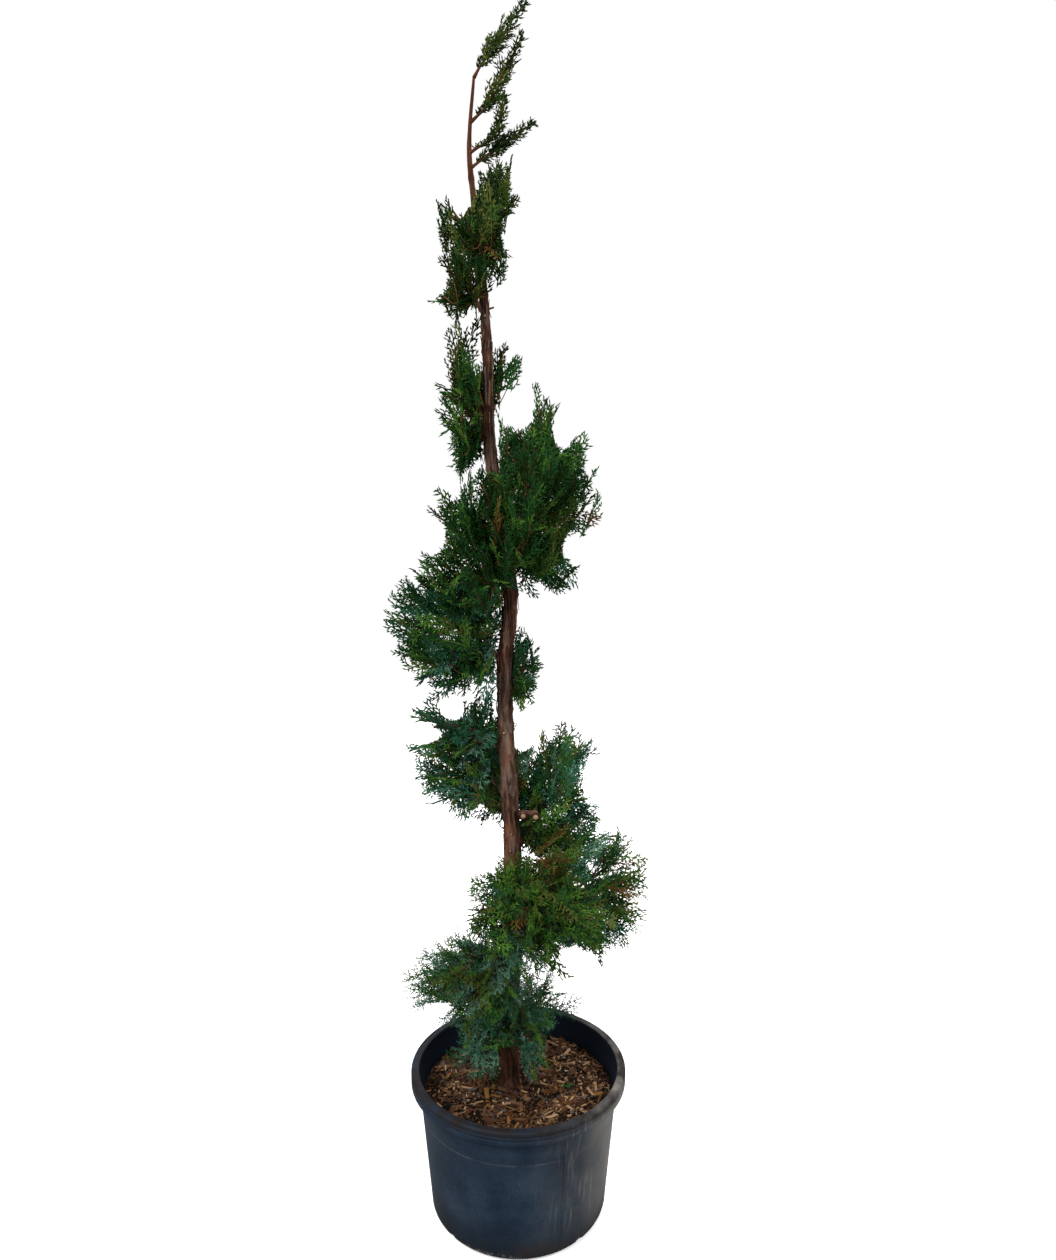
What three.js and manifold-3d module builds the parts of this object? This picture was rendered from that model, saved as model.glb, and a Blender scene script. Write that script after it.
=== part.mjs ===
// Spiral topiary: a juniper clipped into a rising spiral, growing in a round nursery pot.
// Units are millimetres and +Z is up. The origin is the centre of the pot's flat underside.
// The front faces -Y. The spiral climbs from the left, round the front, to the right and the back.
import * as THREE from "three";
import { mergeVertices } from "three/addons/utils/BufferGeometryUtils.js";
import Module from "manifold-3d";

const wasm = await Module();
wasm.setup();

const clearance = 0.3; // gap between two solids that touch

// Pot: a tapered tub with a down-turned lip
const potHeight = 305;
const baseRadius = 176;
const bodyTaper = 0.085; // growth of the radius for each millimetre of height
const wallThickness = 3;
const floorThickness = 4;
const cornerRadius = 20;
const lipRadius = 216;
const lipDrop = 27;
const lipChamfer = 4;
const lipDeckThickness = 5;
const potSides = 32;
const drainHoleCount = 4;
const drainHoleRadius = 11;
const drainHoleTilt = 40; // degrees that the holes look down through the corner
const firstDrainHeading = 43; // degrees from the front

// Growing mix: fills the pot to a little under the lip
const groundLevel = 258;
const edgeDrop = 8; // how much lower the mix is at the wall
const bumpHeight = 6;
const collarRadius = 42; // flat ring that the trunk stands on
const chipCount = 9;

// Trunk: a slightly winding stem, from the mix to the foot of the leading shoot
const footRadius = 16.5;
const flareWidth = 8;
const flareHeight = 26;
const trunkTaper = 0.86; // share of the foot's radius that is gone at the tip
const trunkTaperPower = 2.2;
const trunkSides = 9;
const trunkSteps = 32;
const trunkLine = [
  [-17, 0, groundLevel],
  [-17, 1, 330],
  [-13, 4, 560],
  [-12, 0, 796],
  [-21, -4, 960],
  [-24, 0, 1130],
  [-13, 4, 1265],
  [-47, 2, 1500],
  [-55, -2, 1740],
  [-67, 0, 1887],
  [-82, 3, 2035],
  [-73, 0, 2150],
];

// Spiral: the masses along the ribbon of foliage, from its foot to its top. heading is in degrees
// from the front, turning towards the right, height is the mass's middle, reach its furthest tips
// from the trunk, half its half-height, and rise the angle at which its shoots climb, in degrees.
const spiral = [
  { heading: 273, height: 480, reach: 216, half: 82, rise: -14 },
  { heading: 322, height: 534, reach: 190, half: 94, rise: -14 },
  { heading: 8, height: 662, reach: 190, half: 118, rise: -10 },
  { heading: 54, height: 662, reach: 230, half: 130, rise: -10 },
  { heading: 97, height: 666, reach: 278, half: 146, rise: 0 },
  { heading: 133, height: 838, reach: 234, half: 144, rise: 25 },
  { heading: 198, height: 900, reach: 192, half: 118, rise: 20 },
  { heading: 240, height: 922, reach: 198, half: 106, rise: 0 },
  { heading: 266, height: 1004, reach: 212, half: 56, rise: 5 },
  { heading: 278, height: 1205, reach: 234, half: 139, rise: 10 },
  { heading: 318, height: 1345, reach: 182, half: 145, rise: 25 },
  { heading: 4, height: 1385, reach: 172, half: 125, rise: 30 },
  { heading: 57, height: 1432, reach: 164, half: 214, rise: 42 },
  { heading: 100, height: 1420, reach: 186, half: 180, rise: 45 },
  { heading: 150, height: 1646, reach: 78, half: 74, rise: 50 },
  { heading: 260, height: 1602, reach: 94, half: 140, rise: 30 },
  { heading: 300, height: 1818, reach: 101, half: 83, rise: 50 },
  { heading: 12, height: 1890, reach: 82, half: 120, rise: 60 },
  { heading: 96, height: 1924, reach: 84, half: 98, rise: 66 },
  { heading: 250, height: 1922, reach: 68, half: 92, rise: 66 },
];
const centreShare = 0.46; // how far out a mass's middle is, as a share of its reach
const widestMass = 98; // half-width along the ribbon
const widthOfReach = 0.7; // half-width of a short mass, as a share of its reach

// Skirt: short shoots that hang round the foot of the trunk
const skirtHeadings = [-38, 28, 118, 205];
const skirt = { height: 404, reach: 132, half: 106, rise: -24 };
const skirtWidth = 62;

// Side shoots: on the bare side of the trunk, between two turns of the ribbon
const sideShoots = [{ heading: 100, height: 1115, reach: 72, half: 80, rise: 20 }];
const sideWidth = 60;

// Leading shoots: slim plumes at the top, each from its foot on the trunk, where it is bare, over
// an elbow to its tip
const leadingShoots = [
  { foot: [-73, 0, 2150], elbow: [-60, -2, 2170], tip: [18, -4, 2270], width: 21 },
  { foot: [-79, 2, 2080], elbow: [-48, 8, 2112], tip: [13, 10, 2228], width: 20 },
  { foot: [-82, 3, 2030], elbow: [-36, -8, 2060], tip: [-20, -12, 2126], width: 18 },
  { foot: [-80, 3, 2006], elbow: [-34, 8, 2040], tip: [34, 12, 2086], width: 19 },
];
const leadingTwigs = 8;

// Boughs and stems: one tapering line from the trunk into each mass
const boughRadius = 6.2; // of a bough with a reach of 200 or more
const leadingRadius = 2.6;
const boughTipShare = 0.55;
const shortestBough = 110; // a mass with less reach grows straight from the trunk
const boughSides = 5;
const stemSides = 4;

// Twigs: each ends in a flat spray of shoots
const goldenTurn = 137.508; // degrees
const twigsAtLeast = 7;
const areaPerTwig = 1300; // square millimetres of an oval's face for each further twig
const twigLean = 0.35; // how far twigs lean the way that their mass climbs
const shortestTwig = 0.5; // as a share of the way to the oval's surface
const coreShare = 0.64; // size of a mass's dense core in its oval
const sprayHalfWidth = 30;
const sprayWidthShare = 0.32; // half-width of a short spray, as a share of its length
const sprayThickness = 6;

// Random numbers that are the same on each run.
function seededRandom(seed) {
  const modulus = 2147483647;
  let state = (seed * 48271) % modulus;
  const draw = () => {
    state = (state * 16807) % modulus;
    return state / modulus;
  };
  draw();
  return draw;
}

// A geometry with its positions alone and its shared corners merged.
function welded(geometry) {
  for (const name of ["normal", "uv"]) geometry.deleteAttribute(name);
  return mergeVertices(geometry);
}

// A closed geometry as a solid that can be joined and cut.
function solidOf(geometry) {
  const { attributes, index } = welded(geometry);
  const vertProperties = new Float32Array(attributes.position.array);
  const triVerts = new Uint32Array(index.array);
  return new wasm.Manifold(new wasm.Mesh({ numProp: 3, vertProperties, triVerts }));
}

// A solid as a geometry with flat faces.
function geometryOf(solid) {
  const mesh = solid.getMesh();
  const geometry = new THREE.BufferGeometry();
  geometry.setAttribute("position", new THREE.BufferAttribute(mesh.vertProperties, mesh.numProp));
  geometry.setIndex(new THREE.BufferAttribute(mesh.triVerts, 1));
  const flat = geometry.toNonIndexed();
  flat.computeVertexNormals();
  return flat;
}

// The largest body of a solid, without loose scraps.
function largestBody(solid) {
  return solid.decompose().reduce((best, body) => (body.volume() > best.volume() ? body : best));
}

// Moves each corner of a geometry to the point that a rule gives for it.
function reshaped(geometry, rule) {
  const place = geometry.getAttribute("position");
  const corner = new THREE.Vector3();
  for (let i = 0; i < place.count; i++) {
    const point = rule(corner.fromBufferAttribute(place, i));
    place.setXYZ(i, point.x, point.y, point.z);
  }
  return geometry;
}

// The corners of a geometry as points.
function cornersOf(geometry) {
  const place = geometry.getAttribute("position");
  return Array.from({ length: place.count }, (_, i) => new THREE.Vector3().fromBufferAttribute(place, i));
}

// A tapering round limb along a curve, between two shares of the curve's length.
function limb(curve, radiusAt, sides, steps, from = 0, to = 1) {
  const rings = [];
  let across = new THREE.Vector3(1, 0, 0);
  for (let step = 0; step <= steps; step++) {
    const share = Math.min(1, from + ((to - from) * step) / steps);
    const tangent = curve.getTangentAt(share);
    if (step === 0 && Math.abs(tangent.x) > 0.8) across = new THREE.Vector3(0, 1, 0);
    across = across.clone().addScaledVector(tangent, -across.dot(tangent)).normalize();
    const over = new THREE.Vector3().crossVectors(tangent, across);
    rings.push({ centre: curve.getPointAt(share), across, over, radius: radiusAt(share) });
  }
  return reshaped(new THREE.CylinderGeometry(1, 1, 1, sides, steps), (corner) => {
    const ring = rings[Math.round((corner.y + 0.5) * steps)];
    const sideways = ring.over.clone().multiplyScalar(corner.x).addScaledVector(ring.across, corner.z);
    return ring.centre.clone().addScaledVector(sideways, ring.radius);
  });
}

// A smooth curve through points.
function curveThrough(points) {
  return new THREE.CatmullRomCurve3(points, false, "centripetal");
}

// Trunk
const trunkCurve = curveThrough(trunkLine.map((point) => new THREE.Vector3(...point)));
const trunkTop = trunkLine[trunkLine.length - 1][2];

function trunkRadiusAt(z) {
  const share = THREE.MathUtils.clamp((z - groundLevel) / (trunkTop - groundLevel), 0, 1);
  const flare = flareWidth * Math.exp(-(z - groundLevel) / flareHeight);
  return footRadius * (1 - trunkTaper * share ** trunkTaperPower) + flare;
}

// The point of the trunk's centre line at a height.
function trunkAt(z) {
  let low = 0;
  let high = 1;
  for (let round = 0; round < 24; round++) {
    const middle = (low + high) / 2;
    if (trunkCurve.getPoint(middle).z < z) low = middle;
    else high = middle;
  }
  return trunkCurve.getPoint(low);
}

// The trunk, or with some extra the room that everything else keeps clear of it.
function makeTrunk(extra = 0) {
  const radiusAt = (share) => trunkRadiusAt(trunkCurve.getPointAt(share).z) + extra;
  const foot = groundLevel + clearance;
  const tip = trunkCurve.getPointAt(1);
  const upwards = trunkCurve.getTangentAt(1);
  return reshaped(limb(trunkCurve, radiusAt, trunkSides, trunkSteps), (corner) => {
    const point = corner.clone();
    if (point.z < foot + 3) point.z = foot;
    if (point.clone().sub(tip).dot(upwards) > -0.01) point.addScaledVector(upwards, extra);
    return point;
  });
}

// Pot
function bodyRadiusAt(z) {
  return baseRadius + bodyTaper * z;
}

// Profile points on a round corner at a height, between two angles in degrees.
function corner(wallRadius, foot, radius, start, end, steps) {
  const points = [];
  for (let i = 0; i <= steps; i++) {
    const angle = THREE.MathUtils.degToRad(start + ((end - start) * i) / steps);
    const across = wallRadius - radius + radius * Math.cos(angle);
    points.push([across, foot + radius + radius * Math.sin(angle)]);
  }
  return points;
}

// A profile of [radius, height] points turned about the upright axis.
function turned(profile) {
  const points = profile.map(([radius, height]) => new THREE.Vector2(radius, height));
  return new THREE.LatheGeometry(points, potSides).rotateX(Math.PI / 2);
}

function makePot() {
  const lipFoot = potHeight - lipDrop;
  const deck = potHeight - lipDeckThickness;
  const mouth = bodyRadiusAt(potHeight) - wallThickness;
  const innerCorner = cornerRadius - wallThickness;
  const innerFoot = bodyRadiusAt(floorThickness + innerCorner) - wallThickness;
  let pot = solidOf(
    turned([
      [0, 0],
      ...corner(bodyRadiusAt(cornerRadius), 0, cornerRadius, -90, 0, 3),
      [bodyRadiusAt(deck), deck],
      [lipRadius - wallThickness, deck],
      [lipRadius - wallThickness, lipFoot],
      [lipRadius, lipFoot],
      [lipRadius, potHeight - lipChamfer],
      [lipRadius - lipChamfer, potHeight],
      [mouth + lipChamfer, potHeight],
      [mouth, potHeight - lipChamfer],
      ...corner(innerFoot, floorThickness, innerCorner, 0, -90, 2),
      [0, floorThickness],
    ]),
  );
  for (let i = 0; i < drainHoleCount; i++) {
    const drill = new THREE.CylinderGeometry(drainHoleRadius, drainHoleRadius, 30, 6);
    drill.rotateZ(THREE.MathUtils.degToRad(90 + drainHoleTilt));
    drill.translate(baseRadius - 4, 7, 0);
    drill.rotateX(Math.PI / 2);
    drill.rotateZ(THREE.MathUtils.degToRad(firstDrainHeading - 90 + (360 / drainHoleCount) * i));
    pot = pot.subtract(solidOf(drill));
  }
  return pot;
}

// Growing mix: bark and compost with low bumps, and some larger chips of bark on it
function makeGrowingMix() {
  const random = seededRandom(11);
  const floor = floorThickness + clearance;
  const innerCorner = cornerRadius - wallThickness - clearance;
  const inside = (z) => bodyRadiusAt(z) - wallThickness - clearance * 1.2;
  const bed = turned([
    [0, floor],
    ...corner(inside(floor + innerCorner), floor, innerCorner, -90, 0, 2),
    [inside(groundLevel - edgeDrop), groundLevel - edgeDrop],
    [150, groundLevel],
    [95, groundLevel],
    [collarRadius, groundLevel],
    [0, groundLevel],
  ]);
  const bumpy = reshaped(welded(bed), (point) => {
    const onTop = point.z > groundLevel - 1 && Math.hypot(point.x, point.y) > collarRadius + 1;
    if (onTop) point.z += (random() - 0.6) * bumpHeight;
    return point;
  });
  let mix = solidOf(bumpy);
  for (let i = 0; i < chipCount; i++) {
    const chip = new THREE.BoxGeometry(18 + 22 * random(), 7 + 7 * random(), 5);
    chip.rotateX((random() - 0.5) * 0.7);
    chip.rotateY((random() - 0.5) * 0.5);
    chip.rotateZ(random() * Math.PI);
    const place = outwards(i * goldenTurn).multiplyScalar(70 + 92 * Math.sqrt((i + 0.5) / chipCount));
    chip.translate(place.x, place.y, groundLevel);
    mix = mix.add(solidOf(chip));
  }
  return largestBody(mix);
}

// The unit vector that points away from the trunk at a heading, in degrees from the front.
function outwards(heading) {
  const angle = THREE.MathUtils.degToRad(heading);
  return new THREE.Vector3(Math.sin(angle), -Math.cos(angle), 0);
}

// One mass of foliage: an oval space that stands out from the trunk, the line of its bough and stem,
// and the direction that its twigs lean in, as parts along the oval's axes.
function massAt(name, { heading, height, reach, half, rise }, width, seed) {
  const up = new THREE.Vector3(0, 0, 1);
  const out = outwards(heading);
  const side = new THREE.Vector3().crossVectors(up, out);
  const tilt = THREE.MathUtils.degToRad(rise);
  const lean = new THREE.Vector3(Math.cos(tilt), 0, Math.sin(tilt));
  const centre = trunkAt(height).setZ(height).addScaledVector(out, centreShare * reach);
  const sizes = [(1 - centreShare) * reach, width, half];
  const mouth = centre.clone().addScaledVector(out, -0.27 * reach).addScaledVector(up, -0.2 * half);
  const fork = trunkAt(mouth.z - (0.12 + 0.4 * Math.max(0, lean.z)) * reach);
  const elbow = fork.clone().lerp(mouth, 0.55).addScaledVector(out, 0.03 * reach);
  const end = centre.clone().addScaledVector(out, 0.19 * reach).addScaledVector(up, 0.2 * half * lean.z);
  const line = curveThrough([fork, elbow, mouth, centre, end]);
  const radius = boughRadius * (0.5 + 0.5 * Math.min(1, reach / 200));
  const limbs = { line, mouth, radius, hasBough: reach >= shortestBough };
  return { name, seed, centre, axes: [out, side, up], sizes, lean, core: coreShare, ...limbs };
}

function spiralMasses() {
  return spiral.map((sizes, i) => {
    const number = String(i + 1).padStart(2, "0");
    const width = Math.min(widestMass, sizes.reach * widthOfReach);
    return massAt(`spiral_foliage_${number}`, sizes, width, i + 1);
  });
}

function skirtMasses() {
  return skirtHeadings.map((heading, i) => {
    return massAt(`skirt_foliage_${i + 1}`, { heading, ...skirt }, skirtWidth, 41 + i);
  });
}

function sideMasses() {
  return sideShoots.map((sizes, i) => massAt(`side_foliage_${i + 1}`, sizes, sideWidth, 51 + i));
}

// A leading shoot has no core: its twigs stand along its own stem.
function leadingMasses() {
  return leadingShoots.map(({ foot, elbow, tip, width }, i) => {
    const root = new THREE.Vector3(...foot);
    const bend = new THREE.Vector3(...elbow);
    const end = new THREE.Vector3(...tip);
    const length = bend.distanceTo(end);
    const along = end.clone().sub(bend).normalize();
    const side = new THREE.Vector3().crossVectors(new THREE.Vector3(0, 0, 1), along).normalize();
    const over = new THREE.Vector3().crossVectors(along, side);
    const line = curveThrough([root, bend, bend.clone().lerp(end, 0.75)]);
    const centre = bend.clone().lerp(end, 0.45);
    const sizes = [length * 0.55, width, width];
    const oval = { centre, axes: [along, side, over], sizes, core: 0 };
    return { name: `leading_shoot_${i + 1}`, seed: 61 + i, ...oval, line, radius: leadingRadius };
  });
}

const masses = [...spiralMasses(), ...skirtMasses(), ...sideMasses(), ...leadingMasses()];

// How far a direction reaches from a mass's centre, in its own oval's measure or in millimetres.
function measuredBy(mass, offset) {
  return Math.hypot(...mass.axes.map((axis, i) => offset.dot(axis) / mass.sizes[i]));
}

// The flat borders between a mass and its neighbours, each at its own oval's share of the way.
function bordersOf(mass) {
  const borders = [];
  for (const other of masses) {
    if (other === mass) continue;
    const towards = other.centre.clone().sub(mass.centre);
    const gap = towards.length();
    towards.normalize();
    const own = 1 / measuredBy(mass, towards);
    const theirs = 1 / measuredBy(other, towards);
    if (own + theirs > gap) borders.push({ towards, distance: (gap * own) / (own + theirs) });
  }
  return borders;
}

for (const mass of masses) mass.borders = bordersOf(mass);

// True where a point is in the mass's own space: in its oval, on its side of every border,
// and clear of the trunk and the growing mix.
function inOwnSpace(mass, point, margin) {
  const offset = point.clone().sub(mass.centre);
  if (measuredBy(mass, offset) > 1.001 || point.z < groundLevel + 12) return false;
  const trunk = trunkAt(point.z);
  const fromTrunk = Math.hypot(point.x - trunk.x, point.y - trunk.y);
  if (fromTrunk < trunkRadiusAt(point.z) + margin + 1.5) return false;
  return mass.borders.every(({ towards, distance }) => offset.dot(towards) < distance - margin);
}

// The point of a mass's oval in a direction, at a share of the way to its surface.
function inOval(mass, facing, share) {
  const point = mass.centre.clone();
  mass.axes.forEach((axis, i) => point.addScaledVector(axis, facing.getComponent(i) * mass.sizes[i] * share));
  return point;
}

// Boughs, each from the trunk's bark to the mouth of its mass
function radiusAlong(mass, extra = 0) {
  return (share) => mass.radius * (1 - (1 - boughTipShare) * share) + extra;
}

// The share of a mass's line at which its bough ends, and the gap from there to its stem.
function boughEnd(mass) {
  let end = 0;
  let nearest = Infinity;
  for (let i = 0; i <= 100; i++) {
    const distance = mass.line.getPointAt(i / 100).distanceTo(mass.mouth);
    if (distance < nearest) [end, nearest] = [i / 100, distance];
  }
  return { end, gap: clearance / mass.line.getLength() };
}

function makeBough(mass, limbsWithGap) {
  const bough = limb(mass.line, radiusAlong(mass), boughSides, 3, 0, boughEnd(mass).end);
  return largestBody(solidOf(bough).subtract(limbsWithGap));
}

// The room that everything else keeps clear of a bough.
function boughWithGap(mass) {
  const { end, gap } = boughEnd(mass);
  return solidOf(limb(mass.line, radiusAlong(mass, clearance), boughSides, 3, 0, end + gap));
}

// The outline of a twig with its spray, from its root round one side to its tip and back, as shares
// of the length and of the half-width: two pointed teeth on each side, the second one shorter.
const spraySide = [[0.4, 1], [0.55, 0.4], [0.76, 0.72]];
const otherSide = spraySide.map(([forward, sideways]) => [forward, -sideways]).reverse();
const sprayOutline = [[0, 0], ...spraySide, [1, 0], ...otherSide];

// A twig with its spray as a flat toothed blade, thickest at its middle.
function sprayGeometry({ root, tip, across }, halfWidth) {
  const corners = sprayOutline.length;
  const along = tip.clone().sub(root);
  const over = new THREE.Vector3().crossVectors(along, across).normalize();
  return reshaped(new THREE.SphereGeometry(1, corners, 2), ({ x, y, z }) => {
    const pole = Math.round(y);
    if (pole !== 0) return root.clone().lerp(tip, 0.5).addScaledVector(over, (pole * sprayThickness) / 2);
    const turn = Math.atan2(z, x) / (2 * Math.PI);
    const [forward, sideways] = sprayOutline[Math.round((turn + 1) * corners) % corners];
    return root.clone().addScaledVector(along, forward).addScaledVector(across, sideways * halfWidth);
  });
}

// A twig from its root to its tip, turned about its own length by a roll.
function twigBetween(root, tip, roll) {
  const along = tip.clone().sub(root).normalize();
  const across = new THREE.Vector3().crossVectors(along, new THREE.Vector3(0.3, 0.2, 1)).normalize();
  return { root, tip, across: across.applyAxisAngle(along, roll) };
}

// The twigs of a mass: evenly spread over its oval, each leaning the way that its mass climbs,
// and long enough to reach the edge of its mass's space.
function twigsOf(mass) {
  const random = seededRandom(mass.seed);
  const count = Math.round(twigsAtLeast + (mass.sizes[1] * mass.sizes[2]) / areaPerTwig);
  const twigs = [];
  for (let k = 0; k < count; k++) {
    const forward = 1 - (2 * (k + 0.5)) / count;
    const ring = Math.sqrt(1 - forward * forward);
    const turn = THREE.MathUtils.degToRad(k * goldenTurn + 40 * random());
    const facing = new THREE.Vector3(forward, ring * Math.cos(turn), ring * Math.sin(turn));
    const leaning = facing.clone().addScaledVector(mass.lean, twigLean).normalize();
    let room = 1;
    while (room > 0.05 && !inOwnSpace(mass, inOval(mass, leaning, room), 3)) room -= 0.05;
    const reach = room * (0.92 + 0.08 * random());
    const roll = random() * Math.PI;
    if (reach < shortestTwig) continue;
    twigs.push(twigBetween(inOval(mass, facing, 0.2 * reach), inOval(mass, leaning, reach), roll));
  }
  return twigs;
}

// The twigs of a leading shoot: in turn round its stem, shorter towards its tip, and one at the tip.
function leadingTwigsOf(mass) {
  const random = seededRandom(mass.seed);
  const [along, side, over] = mass.axes;
  const top = mass.centre.clone().addScaledVector(along, mass.sizes[0]);
  const twigs = [twigBetween(mass.line.getPointAt(0.93), top, 0.4)];
  for (let k = 0; k < leadingTwigs; k++) {
    const share = 0.2 + (0.72 * k) / leadingTwigs;
    const root = mass.line.getPointAt(share);
    const turn = THREE.MathUtils.degToRad(k * goldenTurn);
    const outward = side.clone().multiplyScalar(Math.cos(turn)).addScaledVector(over, Math.sin(turn));
    const direction = mass.line.getTangentAt(share).addScaledVector(outward, 0.5).normalize();
    const length = mass.sizes[0] * (0.86 - 0.33 * share);
    const tipAt = (room) => root.clone().addScaledVector(direction, length * room);
    let room = 1;
    while (room > 0.3 && !inOwnSpace(mass, tipAt(room), 1)) room -= 0.05;
    twigs.push(twigBetween(root, tipAt(room * (0.95 + 0.05 * random())), random() * Math.PI));
  }
  return twigs;
}

// The solid of a twig with its spray: one that would leave the mass's space is narrower or left out.
function twigSolids(mass, twig) {
  const length = twig.root.distanceTo(twig.tip);
  for (const share of [1, 0.8, 0.6, 0.4]) {
    const halfWidth = Math.min(sprayHalfWidth, length * sprayWidthShare) * share;
    const spray = sprayGeometry(twig, halfWidth);
    if (cornersOf(spray).every((point) => inOwnSpace(mass, point, 1))) return [solidOf(spray)];
  }
  return [];
}

// The dense middle of a mass: a lumpy ball, drawn in wherever it would leave the mass's space.
function makeCore(mass) {
  const random = seededRandom(mass.seed + 500);
  const ball = reshaped(welded(new THREE.IcosahedronGeometry(1, 0)), (facing) => {
    let share = mass.core * (0.85 + 0.3 * random());
    while (share > 0.08 && !inOwnSpace(mass, inOval(mass, facing, share), 2)) share *= 0.9;
    return inOval(mass, facing, share);
  });
  return solidOf(ball);
}

// One mass: its stem, which goes on from the bough or the trunk, its core and its twigs.
function makeMass(mass, limbsWithGap) {
  const { end, gap } = mass.hasBough ? boughEnd(mass) : { end: 0, gap: 0 };
  const stem = limb(mass.line, radiusAlong(mass), stemSides, mass.core ? 2 : 4, end + gap, 1);
  const pieces = [solidOf(stem)];
  if (mass.core) pieces.push(makeCore(mass));
  const twigs = mass.core ? twigsOf(mass) : leadingTwigsOf(mass);
  for (const twig of twigs) pieces.push(...twigSolids(mass, twig));
  return largestBody(wasm.Manifold.union(pieces).subtract(limbsWithGap));
}

// Materials
const juvenileBelow = 560; // masses whose middle is lower carry young, blue-green needles

function matt(color, roughness) {
  return new THREE.MeshStandardMaterial({ color, roughness, metalness: 0 });
}

const bark = matt(0x5a4034, 0.95);
const green = matt(0x1f4a2a, 0.7);
const blueGreen = matt(0x2b5a4a, 0.7);
const plastic = matt(0x2a2f36, 0.55);
const barkMix = matt(0x5b3d28, 1);

// Assembly
const topiary = new THREE.Group();

function addNode(name, geometry, material) {
  const mesh = new THREE.Mesh(geometry, material);
  mesh.name = name;
  topiary.add(mesh);
}

addNode("pot", geometryOf(makePot()), plastic);
addNode("growing_mix", geometryOf(makeGrowingMix()), barkMix);
addNode("trunk", makeTrunk(), bark);

let limbsWithGap = solidOf(makeTrunk(clearance));
for (const mass of masses.filter(({ hasBough }) => hasBough)) {
  addNode(mass.name.replace("foliage", "bough"), geometryOf(makeBough(mass, limbsWithGap)), bark);
  limbsWithGap = limbsWithGap.add(boughWithGap(mass));
}
for (const mass of masses) {
  const juvenile = mass.centre.z < juvenileBelow;
  addNode(mass.name, geometryOf(makeMass(mass, limbsWithGap)), juvenile ? blueGreen : green);
}

export default topiary;
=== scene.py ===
# %% [markdown]
# # A spiral topiary in its nursery pot
#
# This notebook dresses a small garden tree: a juniper whose side shoots have been clipped away
# along a rising ribbon, so that its foliage climbs round the bare trunk like a stair. The solids
# that carry it were made first and are loaded here as a fixed frame. Every piece below is made
# around that frame, at its real size in metres, and never moves or resizes it.

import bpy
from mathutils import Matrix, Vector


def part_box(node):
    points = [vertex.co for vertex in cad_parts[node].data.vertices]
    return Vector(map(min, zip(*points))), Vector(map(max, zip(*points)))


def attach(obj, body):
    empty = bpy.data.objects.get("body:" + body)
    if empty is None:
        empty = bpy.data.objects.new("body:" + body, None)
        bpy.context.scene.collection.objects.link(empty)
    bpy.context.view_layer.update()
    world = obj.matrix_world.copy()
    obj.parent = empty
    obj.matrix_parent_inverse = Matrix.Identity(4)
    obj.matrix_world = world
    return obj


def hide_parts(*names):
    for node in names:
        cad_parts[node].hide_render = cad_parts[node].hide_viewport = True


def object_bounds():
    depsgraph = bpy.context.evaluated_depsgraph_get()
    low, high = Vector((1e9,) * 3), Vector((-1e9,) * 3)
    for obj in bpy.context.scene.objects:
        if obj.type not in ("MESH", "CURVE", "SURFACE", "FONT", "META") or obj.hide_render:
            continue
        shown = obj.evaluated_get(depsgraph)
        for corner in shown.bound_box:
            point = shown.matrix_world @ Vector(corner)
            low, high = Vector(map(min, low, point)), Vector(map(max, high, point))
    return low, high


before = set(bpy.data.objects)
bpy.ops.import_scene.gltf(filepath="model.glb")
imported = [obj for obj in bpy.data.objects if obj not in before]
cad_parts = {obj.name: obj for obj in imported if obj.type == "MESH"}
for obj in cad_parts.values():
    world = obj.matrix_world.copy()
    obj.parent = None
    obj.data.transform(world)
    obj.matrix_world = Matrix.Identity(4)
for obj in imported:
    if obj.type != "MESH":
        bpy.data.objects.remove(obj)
frame_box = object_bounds()
print("frame:", len(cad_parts), "solids, box", frame_box)

# %% [markdown]
# ## The camera
# The photograph was taken standing up, from a little under two metres away, with the phone tipped
# down by ten degrees. A camera is made before anything else, because every later choice is judged
# through it. Its lens is worked out from the focal length in pixels: Blender measures the sensor
# along the longer side of the picture.

# %% The camera
import math
from functools import partial

import bpy
import numpy as np
from mathutils import Vector, noise

photo_height_px = 1260
focal_length_px = 1000
sensor_mm = 36
camera_place = (0.0195, -1.842, 1.519)
camera_tip = math.radians(10)

camera_data = bpy.data.cameras.new("photo_camera")
camera_data.sensor_width = sensor_mm
camera_data.lens = sensor_mm * focal_length_px / photo_height_px
camera = bpy.data.objects.new("photo_camera", camera_data)
camera.location = camera_place
camera.rotation_euler = (math.pi / 2 - camera_tip, 0, 0)
bpy.context.scene.collection.objects.link(camera)
bpy.context.scene.camera = camera
print("camera: lens", round(camera_data.lens, 2), "mm, at", camera_place)

# %% [markdown]
# ## Floor and light
# A cut-out picture has a white ground, so the plant stands on a pale floor in a pale room. Three
# soft area lamps do what a bright overcast sky does: one large and high on the left, a weaker one
# on the right, and one behind that rims the tips of the foliage. Floor and room look white to the
# camera but send less light back at the plant. Otherwise its undersides would be as bright as its
# tops. The plain "Standard" view keeps white as white.


# %% Helpers for all that follows
def deselect_all():
    """Operators act on all that is selected, so this comes before each primitive."""
    bpy.ops.object.select_all(action="DESELECT")


def select_only(piece):
    """Selects one piece and makes it the active one."""
    deselect_all()
    piece.select_set(True)
    bpy.context.view_layer.objects.active = piece


def plain_material(name, colour, roughness):
    """A dull material with one colour all over. Returns it."""
    material = bpy.data.materials.new(name)
    material.use_nodes = True
    shader = material.node_tree.nodes["Principled BSDF"]
    shader.inputs["Base Color"].default_value = (*colour, 1)
    shader.inputs["Roughness"].default_value = roughness
    shader.inputs["Specular IOR Level"].default_value = 0.06
    return material


def triangles_of(piece):
    return sum(len(polygon.vertices) - 2 for polygon in piece.data.polygons)


print("selected at the start:", len(bpy.context.selected_objects), "objects")

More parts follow.
